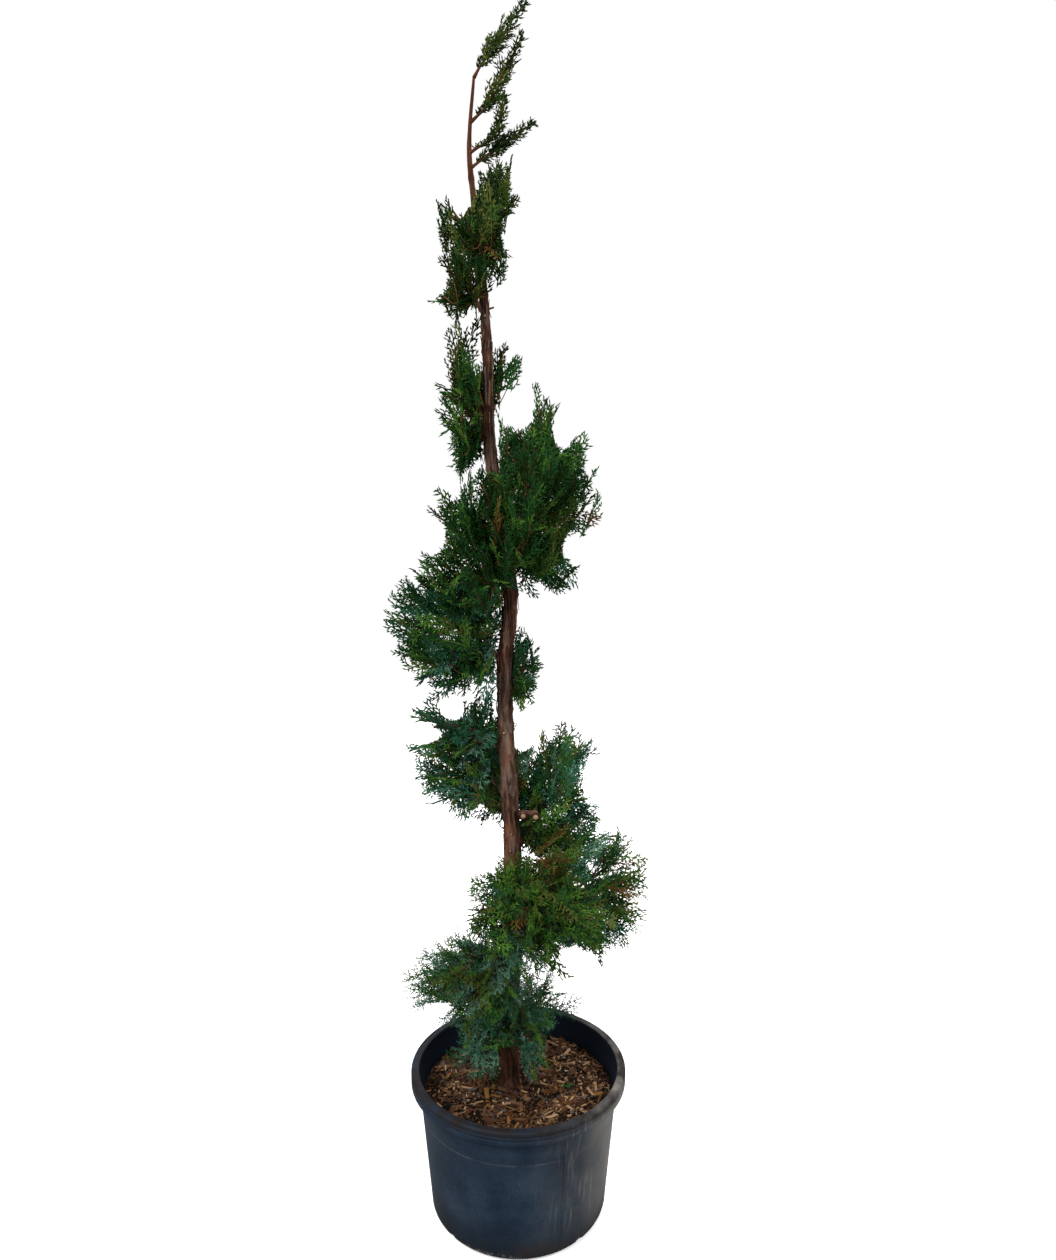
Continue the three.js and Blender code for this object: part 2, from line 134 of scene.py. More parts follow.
# %% The floor and the room
deselect_all()
bpy.ops.mesh.primitive_plane_add(size=24, location=(0, 0, -0.0005))
floor = bpy.context.object
floor.name = "floor"
floor.data.materials.append(plain_material("pale_floor", (0.97, 0.97, 0.97), 0.9))


def weaker_for_light(tree, socket, seen, sent):
    """Sets a socket to one value for the camera and to another for the light that it sends."""
    ray = tree.nodes.new("ShaderNodeLightPath")
    choice = tree.nodes.new("ShaderNodeMapRange")
    choice.inputs["To Min"].default_value = sent
    choice.inputs["To Max"].default_value = seen
    tree.links.new(ray.outputs["Is Camera Ray"], choice.inputs["Value"])
    tree.links.new(choice.outputs["Result"], socket)


floor_tree = floor.data.materials[0].node_tree
floor_shader = floor_tree.nodes["Principled BSDF"]
floor_shader.inputs["Emission Color"].default_value = (1, 1, 1, 1)
weaker_for_light(floor_tree, floor_shader.inputs["Base Color"], 0.97, 0.35)
weaker_for_light(floor_tree, floor_shader.inputs["Emission Strength"], 0.25, 0)

world = bpy.data.worlds.new("bright_room")
world.use_nodes = True
background = world.node_tree.nodes["Background"]
background.inputs["Color"].default_value = (1, 1, 1, 1)
weaker_for_light(world.node_tree, background.inputs["Strength"], 1.0, 0.8)
bpy.context.scene.world = world
bpy.context.scene.view_settings.view_transform = "Standard"
print("floor and room ready, view:", bpy.context.scene.view_settings.view_transform)


# %% Three lamps
def soft_lamp(name, place, aim, size, watts, colour):
    """A square area lamp that looks at a point."""
    lamp = bpy.data.lights.new(name, "AREA")
    lamp.size = size
    lamp.energy = watts
    lamp.color = colour
    holder = bpy.data.objects.new(name, lamp)
    holder.location = place
    holder.rotation_euler = (Vector(aim) - Vector(place)).to_track_quat("-Z", "Y").to_euler()
    bpy.context.scene.collection.objects.link(holder)


plant_middle = (0, 0, 1.1)
soft_lamp("sky_left", (-1.9, -2.2, 3.6), plant_middle, 1.8, 200, (1.0, 0.98, 0.94))
soft_lamp("sky_right", (2.4, -1.2, 2.4), plant_middle, 1.6, 75, (0.96, 0.98, 1.0))
soft_lamp("sky_behind", (0.6, 2.4, 3.2), plant_middle, 1.8, 80, (1.0, 1.0, 1.0))

# %% [markdown]
# ## The plan of the tree
# The tree follows one plan: a winding trunk, and a list of masses of foliage along the ribbon.
# Each mass is an oval space with a heading, a height, a reach, a half-height and the angle at
# which its shoots climb. These are the same named sizes that the solids were made from, in
# millimetres, so the fine foliage grows inside the same spaces. Sculpting the foliage by hand
# would also work, but a rule gives tens of thousands of leaves that still obey the tree's form.

# %% Sizes of the trunk and of the masses
MM = 0.001
ground_level = 258
foot_radius = 16.5
flare_width = 8
flare_height = 26
trunk_taper = 0.86
trunk_taper_power = 2.2
trunk_places = [
    (-17, 0, ground_level), (-17, 1, 330), (-13, 4, 560), (-12, 0, 796), (-21, -4, 960), (-24, 0, 1130),
    (-13, 4, 1265), (-47, 2, 1500), (-55, -2, 1740), (-67, 0, 1887), (-82, 3, 2035), (-73, 0, 2150),
]
spiral = [  # heading, height, reach, half-height, rise
    (273, 480, 216, 82, -14), (322, 534, 190, 94, -14), (8, 662, 190, 118, -10), (54, 662, 230, 130, -10),
    (97, 666, 278, 146, 0), (133, 838, 234, 144, 25), (198, 900, 192, 118, 20), (240, 922, 198, 106, 0),
    (266, 1004, 212, 56, 5), (278, 1205, 234, 139, 10), (318, 1345, 182, 145, 25), (4, 1385, 172, 125, 30),
    (57, 1432, 164, 214, 42), (100, 1420, 186, 180, 45), (150, 1646, 78, 74, 50), (260, 1602, 94, 140, 30),
    (300, 1818, 101, 83, 50), (12, 1890, 82, 120, 60), (96, 1924, 84, 98, 66), (250, 1922, 68, 92, 66),
]
centre_share = 0.46  # how far out a mass's middle is, as a share of its reach
widest_mass = 98
width_of_reach = 0.7
mouth_inwards, mouth_drop = 0.27, 0.2  # where a stem enters its oval: shares of reach and half-height
fork_drop, fork_drop_of_climb = 0.12, 0.4  # how far below that it leaves the trunk, as shares of reach
elbow_share, elbow_swing = 0.55, 0.03
stem_end, stem_end_climb = 0.19, 0.2
stem_radius = 6.2
full_reach = 200  # a mass with a shorter reach has a thinner stem
skirt_headings = (-38, 28, 118, 205)
skirt = (404, 132, 106, -24)  # height, reach, half-height, rise
skirt_width = 62
side_shoots = [(100, 1115, 72, 80, 20)]
side_width = 60
leading_shoots = [  # foot on the trunk, elbow, tip, width
    ((-73, 0, 2150), (-60, -2, 2170), (18, -4, 2270), 21),
    ((-79, 2, 2080), (-48, 8, 2112), (13, 10, 2228), 20),
    ((-82, 3, 2030), (-36, -8, 2060), (-20, -12, 2126), 18),
    ((-80, 3, 2006), (-34, 8, 2040), (34, 12, 2086), 19),
]
leading_centre, leading_half, leading_stem = 0.45, 0.55, 0.75  # shares of the way from elbow to tip
leading_radius = 2.6
shortest_bough = 110
golden_turn = math.radians(137.508)
print("plan:", len(spiral), "masses on the ribbon,", len(skirt_headings), "in the skirt")


# %% [markdown]
# ## Smooth lines and seeded draws
# A stem is a smooth line through a few places. The centripetal Catmull-Rom curve passes through
# all of them without loops, which is how a living stem bends between its nodes. The draws are
# seeded, so the tree is the same tree each time the notebook runs.


# %% Smooth lines
def unit(vector):
    return vector / np.maximum(np.linalg.norm(vector, axis=-1, keepdims=True), 1e-12)


def smooth_line(places, samples=24):
    """A centripetal Catmull-Rom curve through places, as many points close together."""
    places = np.array(places, float)
    knots = np.vstack([2 * places[0] - places[1], places, 2 * places[-1] - places[-2]])
    share = np.linspace(0, 1, samples, endpoint=False)[:, None]
    stretches = []
    for before, start, end, after in zip(knots, knots[1:], knots[2:], knots[3:]):
        first, middle, last = (
            max(np.linalg.norm(b - a), 1e-9) ** 0.5 for a, b in ((before, start), (start, end), (end, after))
        )
        leaving = (start - before) / first - (end - before) / (first + middle) + (end - start) / middle
        arriving = (end - start) / middle - (after - start) / (middle + last) + (after - end) / last
        stretches.append(
            (2 * share**3 - 3 * share**2 + 1) * start
            + (share**3 - 2 * share**2 + share) * leaving * middle
            + (3 * share**2 - 2 * share**3) * end
            + (share**3 - share**2) * arriving * middle
        )
    return np.vstack(stretches + [places[-1:]])


def along(line, shares):
    """The points of a line at shares of its length."""
    steps = np.linalg.norm(np.diff(line, axis=0), axis=1)
    travelled = np.concatenate([[0], np.cumsum(steps)])
    wanted = np.asarray(shares, float) * travelled[-1]
    return np.stack([np.interp(wanted, travelled, line[:, axis]) for axis in range(3)], axis=-1)


print("points of a line with one bend:", len(smooth_line(np.eye(3))))


# %% The trunk's line
trunk_line = smooth_line(trunk_places)


def trunk_at(height):
    """The trunk's centre at a height, in millimetres."""
    places = [np.interp(height, trunk_line[:, 2], trunk_line[:, axis]) for axis in range(3)]
    return np.stack(places, axis=-1)


def trunk_radius_at(height):
    share = np.clip((height - ground_level) / (trunk_places[-1][2] - ground_level), 0, 1)
    flare = flare_width * np.exp(-(height - ground_level) / flare_height)
    return foot_radius * (1 - trunk_taper * share**trunk_taper_power) + flare


print("trunk: radius", round(float(trunk_radius_at(300)), 1), "mm near its foot")


# %% Seeded draws
def seeded_draws(seed):
    """Endless draws between 0 and 1 that are the same on each run."""
    modulus = 2147483647
    state = (seed * 48271) % modulus * 16807 % modulus
    while True:
        state = state * 16807 % modulus
        yield state / modulus


print("first draw of seed 1:", round(next(seeded_draws(1)), 4))

# %% [markdown]
# ## The space of each mass
# A mass keeps to its own oval, to its own side of the flat border towards each neighbour, and
# clear of the trunk and of the growing mix. Two clipped tufts on a real topiary also meet at such
# a border, where light and air have run out for both. The ribbon's masses follow each other round
# the trunk, and their list below holds all that later cells need to know about each one.


# %% A mass on the ribbon
def outwards(heading):
    angle = math.radians(heading)
    return np.array([math.sin(angle), -math.cos(angle), 0.0])


def mass_at(name, sizes, width, seed):
    """One mass of foliage with its oval, its line of growth and the way that its twigs lean."""
    heading, height, reach, half, rise = sizes
    up = np.array([0.0, 0.0, 1.0])
    out = outwards(heading)
    tilt = math.radians(rise)
    lean = np.array([math.cos(tilt), 0, math.sin(tilt)])
    centre = trunk_at(height) + out * centre_share * reach
    mouth = centre - out * mouth_inwards * reach - up * mouth_drop * half
    fork = trunk_at(mouth[2] - (fork_drop + fork_drop_of_climb * max(0, lean[2])) * reach)
    elbow = fork + (mouth - fork) * elbow_share + out * elbow_swing * reach
    end = centre + out * stem_end * reach + up * stem_end_climb * half * lean[2]
    return {
        "name": name, "seed": seed, "centre": centre, "axes": np.array([out, np.cross(up, out), up]),
        "sizes": np.array([(1 - centre_share) * reach, width, half]), "lean": lean, "leading": False,
        "line": smooth_line([fork, elbow, mouth, centre, end]),
        "mouth": mouth, "has_bough": reach >= shortest_bough,
        "radius": stem_radius * (0.5 + 0.5 * min(1, reach / full_reach)),
    }


print("a heading of 90 points to", outwards(90).round(2))


# %% A leading shoot
def leading_mass(name, foot, elbow, tip, width, seed):
    """A slim leading shoot: an oval along the line from its elbow to its tip."""
    root, bend, end = (np.array(place, float) for place in (foot, elbow, tip))
    length = np.linalg.norm(end - bend)
    forward = (end - bend) / length
    side = unit(np.cross([0, 0, 1.0], forward))
    return {
        "name": name, "seed": seed, "centre": bend + (end - bend) * leading_centre,
        "axes": np.array([forward, side, np.cross(forward, side)]),
        "sizes": np.array([length * leading_half, width, width]),
        "lean": np.array([1.0, 0, 0]), "leading": True,
        "line": smooth_line([root, bend, bend + (end - bend) * leading_stem]),
        "elbow": bend, "tip": end, "has_bough": False, "radius": leading_radius,
    }


print("leading shoots:", len(leading_shoots))


# %% All masses
masses = [
    mass_at(f"spiral_foliage_{i + 1:02d}", sizes, min(widest_mass, sizes[2] * width_of_reach), i + 1)
    for i, sizes in enumerate(spiral)
]
masses += [
    mass_at(f"skirt_foliage_{i + 1}", (heading, *skirt), skirt_width, 41 + i)
    for i, heading in enumerate(skirt_headings)
]
masses += [mass_at(f"side_foliage_{i + 1}", sizes, side_width, 51 + i) for i, sizes in enumerate(side_shoots)]
masses += [leading_mass(f"leading_shoot_{i + 1}", *shoot, 61 + i) for i, shoot in enumerate(leading_shoots)]
print("masses:", len(masses))


# %% The borders between masses
def depth_in(mass, offsets):
    """How deep offsets from the centre lie in a mass's oval: 1 at its surface."""
    return np.linalg.norm(offsets @ mass["axes"].T / mass["sizes"], axis=-1)


def borders_of(mass):
    """The flat borders towards the neighbours: a direction from the centre and a distance along it."""
    borders = []
    for other in masses:
        if other is mass:
            continue
        towards = other["centre"] - mass["centre"]
        gap = np.linalg.norm(towards)
        towards = towards / gap
        own = 1 / depth_in(mass, towards)
        theirs = 1 / depth_in(other, towards)
        if own + theirs > gap:
            borders.append((towards, gap * own / (own + theirs)))
    return borders


for mass in masses:
    mass["borders"] = borders_of(mass)
print("borders:", sum(len(mass["borders"]) for mass in masses))


# %% A mass's own space
bed_clearance = 12  # millimetres between foliage and the growing mix
bark_clearance = 1.5


def in_own_space(mass, points, margin, proud=1.001):
    """Which points lie in the mass's own space, in millimetres."""
    offsets = points - mass["centre"]
    inside = depth_in(mass, offsets) <= proud
    inside &= points[..., 2] >= ground_level + bed_clearance
    trunk = trunk_at(points[..., 2])
    from_trunk = np.hypot(points[..., 0] - trunk[..., 0], points[..., 1] - trunk[..., 1])
    inside &= from_trunk >= trunk_radius_at(points[..., 2]) + margin + bark_clearance
    for towards, distance in mass["borders"]:
        inside &= offsets @ towards < distance - margin
    return inside


print("middles in their own space:", sum(bool(in_own_space(mass, mass["centre"], 0)) for mass in masses))


# %% [markdown]
# ## What has to stay in view
# The shears bared stretches of the trunk on the side that faces us, and between the tufts the sky
# shows in gaps that give this plant its airy look. Random growth would close both. So each stretch
# and each gap is written down once, as it appears from the front, and whatever would hide one is
# left out later. The edge of a gap is ragged, as real tips would leave it.


# %% Bare bark and gaps of light
eye = np.array(camera_place) / MM
bare_stretches = ((240, 335), (760, 1270), (1490, 1790))  # lowest and highest place, in millimetres
bark_margin = 3
light_gaps = [  # x, height, half-width and half-height
    (-97, 1968, 20, 42), (-2, 1896, 22, 36), (-147, 1816, 22, 26), (-125, 1668, 15, 36), (2, 1602, 30, 38),
    (83, 1563, 20, 34), (-155, 1372, 20, 32), (114, 1345, 30, 26), (-188, 995, 44, 20), (-122, 1042, 24, 20),
    (150, 900, 22, 46), (11, 987, 20, 26), (112, 535, 30, 20), (-165, 424, 28, 10), (105, 335, 50, 50),
    (-62, 2054, 20, 26),
]


def seen_from_front(points):
    """Where points appear on the upright plane through the pot's middle, as x and height."""
    nearness = -eye[1] / (points[..., 1] - eye[1])
    return (eye[0] + (points[..., 0] - eye[0]) * nearness, eye[2] + (points[..., 2] - eye[2]) * nearness)


def in_light_gap(points):
    """Which points would close a gap between the tufts, seen from the front."""
    x, height = seen_from_front(points)
    ragged = 1 + 0.24 * np.sin(points[..., 1] * 0.21 + height * 0.13) * np.sin(height * 0.19 + x * 0.11)
    closing = np.zeros(x.shape, bool)
    for middle_x, middle_height, half_width, half_height in light_gaps:
        closing |= np.hypot((x - middle_x) / half_width, (height - middle_height) / half_height) < ragged
    return closing


def clear_of_front(points):
    """Which points leave the pruned trunk and the gaps in view from the front."""
    x, height = seen_from_front(points)
    behind = trunk_at(height)
    hides = np.abs(x - behind[..., 0]) < trunk_radius_at(height) + bark_margin
    hides &= points[..., 1] < behind[..., 1]
    bare = np.zeros(hides.shape, bool)
    for low, high in bare_stretches:
        bare |= (height > low) & (height < high)
    return ~(hides & bare) & ~in_light_gap(points)


print("in view:", len(bare_stretches), "stretches of bark and", len(light_gaps), "gaps")


# %% [markdown]
# ## Twigs by the rule
# Each mass has the same twigs that its solid has: spread over the oval by the golden angle, which
# is how real shoots share out the light, leaning the way that the mass climbs, and reaching the
# edge of its space. Everything finer than that is added further down, on these twigs.


# %% The twigs of a mass
twig_clearance = 3
leading_clearance = 1


def in_oval(mass, facing, share):
    return mass["centre"] + (facing * mass["sizes"] * share) @ mass["axes"]


def room_for(mass, place_at, clearance, least, step=0.05):
    """The largest share, down to a least one, whose place lies in the mass's own space."""
    room = 1.0
    while room > least and not in_own_space(mass, place_at(room), clearance):
        room -= step
    return room


def twigs_of(mass, twigs_at_least=7, area_per_twig=1300, twig_lean=0.35, twig_root=0.2, shortest=0.5):
    """The root and tip of each long twig, in millimetres, and how far its spray is rolled."""
    draws = seeded_draws(mass["seed"])
    count = round(twigs_at_least + mass["sizes"][1] * mass["sizes"][2] / area_per_twig)
    twigs = []
    for k in range(count):
        forward = 1 - 2 * (k + 0.5) / count
        ring = math.sqrt(1 - forward * forward)
        turn = k * golden_turn + math.radians(40 * next(draws))
        facing = np.array([forward, ring * math.cos(turn), ring * math.sin(turn)])
        leaning = unit(facing + mass["lean"] * twig_lean)
        room = room_for(mass, lambda share: in_oval(mass, leaning, share), twig_clearance, 0.05)
        reach = room * (0.92 + 0.08 * next(draws))
        roll = next(draws) * math.pi
        if reach >= shortest:
            root = in_oval(mass, facing, twig_root * reach)
            twigs.append((root, in_oval(mass, leaning, reach), roll))
    return twigs


print("twigs of the first mass:", len(twigs_of(masses[0])))


# %% The shoots of a leading shoot
def leading_twigs_of(mass, count=8):
    """The shoots of a leading shoot, in turn round its stem and shorter towards its tip."""
    draws = seeded_draws(mass["seed"])
    _, side, over = mass["axes"]
    twigs = []
    for k in range(count):
        share = 0.2 + 0.72 * k / count
        root, ahead = along(mass["line"], (share * 0.8, share * 0.8 + 0.05))
        turn = k * golden_turn
        outward = side * math.cos(turn) + over * math.sin(turn)
        direction = unit(unit(ahead - root) + outward * 0.5)
        length = mass["sizes"][0] * (0.86 - 0.33 * share)
        room = room_for(mass, lambda part: root + direction * length * part, leading_clearance, 0.3)
        tip = root + direction * length * room * (0.95 + 0.05 * next(draws))
        twigs.append((root, tip, next(draws) * math.pi))
    return twigs


for mass in masses:
    mass["twigs"] = leading_twigs_of(mass) if mass["leading"] else twigs_of(mass)
print("twigs:", sum(len(mass["twigs"]) for mass in masses))


# %% [markdown]
# ## Patchy and streaked surfaces
# Bark, old plastic and bark mix all vary in the same two ways: a mask of noise says where a
# surface is darker or lighter, and three tints are laid out along that mask. Both effects are
# node groups, built once here and placed in each material with its own values. The mask reads
# Object coordinates, so a pattern stays fixed to its piece, and stretching them draws it out into
# streaks or fibres.


# %% Node groups
def new_group(name, inputs, outputs):
    """An empty shader node group. Inputs are (name, kind, value) and outputs (name, kind)."""
    group = bpy.data.node_groups.new(name, "ShaderNodeTree")
    for socket_name, kind, value in inputs:
        socket = group.interface.new_socket(socket_name, in_out="INPUT", socket_type=kind)
        socket.default_value = value
    for socket_name, kind in outputs:
        group.interface.new_socket(socket_name, in_out="OUTPUT", socket_type=kind)
    return group, group.nodes.new("NodeGroupInput"), group.nodes.new("NodeGroupOutput")


def wire(tree, *pairs):
    """Links each pair of sockets."""
    for giving, taking in pairs:
        tree.links.new(giving, taking)


print("node groups so far:", len(bpy.data.node_groups))


# %% A group that makes patches
def make_patches_group():
    """A mask of stretched noise, from 0 where the noise is under From to 1 where it is over To."""
    number, vector = "NodeSocketFloat", "NodeSocketVector"
    inputs = [("Scale", number, 10), ("Stretch", vector, (1, 1, 1)), ("From", number, 0), ("To", number, 1)]
    group, given, result = new_group("patches", inputs, [("Mask", number)])
    place = group.nodes.new("ShaderNodeTexCoord")
    stretched = group.nodes.new("ShaderNodeVectorMath")
    stretched.operation = "MULTIPLY"
    grain = group.nodes.new("ShaderNodeTexNoise")
    grain.inputs["Detail"].default_value = 6
    grain.inputs["Roughness"].default_value = 0.6
    spread = group.nodes.new("ShaderNodeMapRange")
    wire(
        group,
        (place.outputs["Object"], stretched.inputs[0]), (given.outputs["Stretch"], stretched.inputs[1]),
        (stretched.outputs[0], grain.inputs["Vector"]), (given.outputs["Scale"], grain.inputs["Scale"]),
        (grain.outputs["Fac"], spread.inputs["Value"]), (given.outputs["From"], spread.inputs["From Min"]),
        (given.outputs["To"], spread.inputs["From Max"]), (spread.outputs["Result"], result.inputs["Mask"]),
    )
    return group


patches_group = make_patches_group()
print("patches:", len(patches_group.nodes), "nodes")


# %% A group that lays out tints
def make_tints_group():
    """Three tints laid out along a mask: Dark at 0, Middle at a half and Light at 1."""
    tint = "NodeSocketColor"
    greys = (("Dark", 0), ("Middle", 0.5), ("Light", 1))
    tints = [(name, tint, (grey, grey, grey, 1)) for name, grey in greys]
    group, given, result = new_group("tints", [("Mask", "NodeSocketFloat", 0.5), *tints], [("Color", tint)])
    mixes = []
    for from_value, to_value in ((0, 0.5), (0.5, 1)):
        part = group.nodes.new("ShaderNodeMapRange")
        part.inputs["From Min"].default_value = from_value
        part.inputs["From Max"].default_value = to_value
        mix = group.nodes.new("ShaderNodeMix")
        mix.data_type = "RGBA"
        group.links.new(given.outputs["Mask"], part.inputs["Value"])
        group.links.new(part.outputs["Result"], mix.inputs["Factor"])
        mixes.append(mix)
    darker, lighter = mixes
    wire(
        group,
        (given.outputs["Dark"], darker.inputs["A"]), (given.outputs["Middle"], darker.inputs["B"]),
        (darker.outputs["Result"], lighter.inputs["A"]), (given.outputs["Light"], lighter.inputs["B"]),
        (lighter.outputs["Result"], result.inputs["Color"]),
    )
    return group


tints_group = make_tints_group()
print("tints:", len(tints_group.nodes), "nodes")


# %% [markdown]
# Node trees are easier to read when each node is one call. The helpers below add a group, a mix or
# a sum to a material's tree, wire it, and return the socket that comes out. Weather lies in layers,
# so the last of them takes a list of layers: each is a colour, and the masks whose product says
# where that colour shows.


# %% Helpers for node trees
def add_node(material, kind, inputs, **settings):
    """Adds a node. An input's value is a number, a colour or the socket of another node."""
    node = material.node_tree.nodes.new(kind)
    for name, value in settings.items():
        setattr(node, name, value)
    for socket, value in inputs.items():
        if isinstance(value, bpy.types.NodeSocket):
            material.node_tree.links.new(value, node.inputs[socket])
        else:
            node.inputs[socket].default_value = value
    return node


def place_patches(material, scale, start, end, stretch=(1, 1, 1)):
    """A mask of noise. The scale is in patches per metre."""
    inputs = {"Scale": scale, "Stretch": stretch, "From": start, "To": end}
    return add_node(material, "ShaderNodeGroup", inputs, node_tree=patches_group).outputs["Mask"]


def place_band(material, axis, low, high):
    """A mask that rises from 0 at one place along an axis to 1 at another, in metres."""
    place = add_node(material, "ShaderNodeTexCoord", {}).outputs["Object"]
    split = add_node(material, "ShaderNodeSeparateXYZ", {"Vector": place})
    inputs = {"Value": split.outputs[axis], "From Min": low, "From Max": high}
    return add_node(material, "ShaderNodeMapRange", inputs).outputs["Result"]


def place_maths(material, operation, *values):
    """A Math node on sockets and numbers."""
    node = add_node(material, "ShaderNodeMath", dict(enumerate(values)), operation=operation, use_clamp=True)
    return node.outputs["Value"]


print("groups to place:", [patches_group.name, tints_group.name])


# %% Tints and layers
def place_tints(material, mask, dark, middle, light):
    inputs = {"Mask": mask, "Dark": (*dark, 1), "Middle": (*middle, 1), "Light": (*light, 1)}
    return add_node(material, "ShaderNodeGroup", inputs, node_tree=tints_group).outputs["Color"]


def place_layers(material, colour, layers):
    """Lays colours over a colour socket, each where the product of its masks is 1."""
    for over, mask, *others in layers:
        for other in others:
            mask = place_maths(material, "MULTIPLY", mask, other)
        inputs = {"Factor": mask, "A": colour, "B": (*over, 1)}
        colour = add_node(material, "ShaderNodeMix", inputs, data_type="RGBA").outputs["Result"]
    return colour


def place_bump(material, height, distance, strength=1.0):
    """A fine relief that is too small to be modelled."""
    inputs = {"Height": height, "Distance": distance, "Strength": strength}
    bump = add_node(material, "ShaderNodeBump", inputs)
    shader = material.node_tree.nodes["Principled BSDF"]
    material.node_tree.links.new(bump.outputs["Normal"], shader.inputs["Normal"])


def finish_material(material, colour, roughness=None):
    """Plugs the finished colour, and a roughness that varies, into the material's shader."""
    shader = material.node_tree.nodes["Principled BSDF"]
    material.node_tree.links.new(colour, shader.inputs["Base Color"])
    if roughness is not None:
        material.node_tree.links.new(roughness, shader.inputs["Roughness"])
    return material


print("node groups:", len(bpy.data.node_groups))

# %% [markdown]
# ## The pot's plastic
# Nursery pots are blown or pressed from black polyethylene. Here the black is tinted a dark navy,
# a painted reflection of a cool sky, under a fine dust. Towards the right it turns a warm grey, partly
# faded and partly a painted sheen of reflected light, and pulling pots out of each other has left
# upright scuffs there. The stacking step is rubbed pale and the lip is stained. Low down the wall is
# grimy, splashed soil leaves brown spots and hard water white ones. Each of those is one layer over
# the last. The plastic is dull, so it mirrors little.


# %% The pot's plastic
def weathered_plastic_and_sheen():
    material = plain_material("weathered_plastic_and_sheen", (0.03, 0.04, 0.05), 0.5)
    patches = partial(place_patches, material)
    band = partial(place_band, material)
    clouds, dust = patches(8, 0.3, 0.7), patches(380, 0.56, 0.76)
    # Towards the right (+X) the plastic is lighter: partly real fading and scuffs, partly a painted sheen of
    # reflected light.
    right_side_sheen_and_scuffs = band("X", 0.02, 0.20)
    layers = {
        # A painted sheen of reflected light on the right side, with some real fading.
        "faded_and_sheen": ((0.082, 0.074, 0.064), right_side_sheen_and_scuffs, patches(14, 0.2, 0.8)),
        # Lightest towards the right edge: a painted reflection, with some real bleaching.
        "bleached_and_reflection": ((0.190, 0.177, 0.160), band("X", 0.12, 0.19), patches(22, 0.1, 0.7, (1, 1, 0.3))),
        "scuffed": ((0.13, 0.13, 0.125), right_side_sheen_and_scuffs, patches(130, 0.54, 0.7, (1, 1, 0.05))),
        "rubbed": (
            (0.075, 0.085, 0.095), band("Z", 0.2195, 0.2210), band("Z", 0.2240, 0.2225),
            patches(16, 0.4, 0.75),
        ),
        "dusty": ((0.085, 0.085, 0.080), dust, patches(10, 0.3, 0.75)),
        "stained": ((0.012, 0.009, 0.008), band("Z", 0.284, 0.298), patches(20, 0.25, 0.6)),
        "soiled": ((0.040, 0.026, 0.016), band("Z", 0.055, 0.012), patches(17, 0.48, 0.66)),
        "grimy": ((0.006, 0.007, 0.010), band("Z", 0.10, 0.02), 0.6),
        "limed": (
            (0.17, 0.17, 0.165), band("Z", 0.020, 0.008), patches(110, 0.52, 0.6, (1, 1, 0.6)),
            band("X", 0.03, -0.02),
        ),
    }
    # The plastic is near-black. The navy in these tints is a painted reflection of a cool sky.
    colour = place_tints(
        material, clouds, (0.003, 0.007, 0.016), (0.009, 0.020, 0.037), (0.023, 0.037, 0.056)
    )
    place_bump(material, dust, 0.0003, 0.6)
    dull = place_maths(material, "MULTIPLY_ADD", clouds, 0.2, 0.45)
    return finish_material(material, place_layers(material, colour, layers.values()), dull)


pot_plastic = weathered_plastic_and_sheen()
inner_plastic = plain_material("inner_plastic", (0.006, 0.009, 0.015), 0.6)
print("pot's plastic:", len(pot_plastic.node_tree.nodes), "nodes")

# %% [markdown]
# ## The pot
# The real pot is one wall about three millimetres thick, turned down at the top into a lip with
# two grooves round it, with a shallow step under the lip that stops stacked pots from jamming.
# It could be spun from a profile, but here it is pulled up ring by ring, like clay on a wheel: a
# filled circle is extruded, widened and lifted for each point of the profile, up the outside,
# over the lip and down the inside. The last ring keeps the circle's face as the pot's floor.

# %% Sizes of the pot
_, (lip_radius, _, pot_height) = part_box("pot")
base_radius = 0.176
body_taper = 0.085
wall = 0.003
floor_thickness = 0.004
corner_radius = 0.020
step_height = 0.232
step_out = 0.0009  # how far the wall stands out above the step
lip_foot = pot_height - 0.027
lip_round = 0.0052
lip_edge = 0.0014
groove_heights, groove_depth = (0.0075, 0.0155), 0.0016
deck_height = pot_height - 0.006
deck_round = 0.005
mouth_round = 0.0033
pot_sides = 144


def body_radius(height):
    return base_radius + body_taper * height


print("pot: lip radius", round(lip_radius, 4), "m, height", round(pot_height, 4), "m")


# %% Pulling up a round piece
def arc_points(centre, radius, start, end, steps):
    """Points of a round corner, between two angles in degrees."""
    angles = [math.radians(start + (end - start) * i / steps) for i in range(steps + 1)]
    return [(centre[0] + radius * math.cos(a), centre[1] + radius * math.sin(a)) for a in angles]


def turned_piece(name, profile, sides):
    """A closed round piece pulled up ring by ring. The profile is (radius, height) pairs."""
    radius, height = profile[0]
    deselect_all()
    bpy.ops.mesh.primitive_circle_add(
        vertices=sides, radius=radius, fill_type="NGON", location=(0, 0, height)
    )
    piece = bpy.context.object
    piece.name = name
    bpy.ops.object.mode_set(mode="EDIT")
    for next_radius, next_height in profile[1:]:
        bpy.ops.mesh.extrude_region_move(TRANSFORM_OT_translate={"value": (0, 0, next_height - height)})
        bpy.ops.transform.resize(value=(next_radius / radius, next_radius / radius, 1))
        radius, height = next_radius, next_height
    bpy.ops.mesh.select_all(action="SELECT")
    bpy.ops.mesh.normals_make_consistent(inside=False)
    bpy.ops.object.mode_set(mode="OBJECT")
    bpy.ops.object.transform_apply(location=True, rotation=True, scale=True)
    return piece


print("points of a round corner:", len(arc_points((0, 0), corner_radius, 0, 90, 8)))


# %% The pot's profile
outer_corner = (body_radius(corner_radius) - corner_radius, corner_radius)
inner_radius = corner_radius - wall
inner_corner = (body_radius(corner_radius) - wall - inner_radius, floor_thickness + inner_radius)

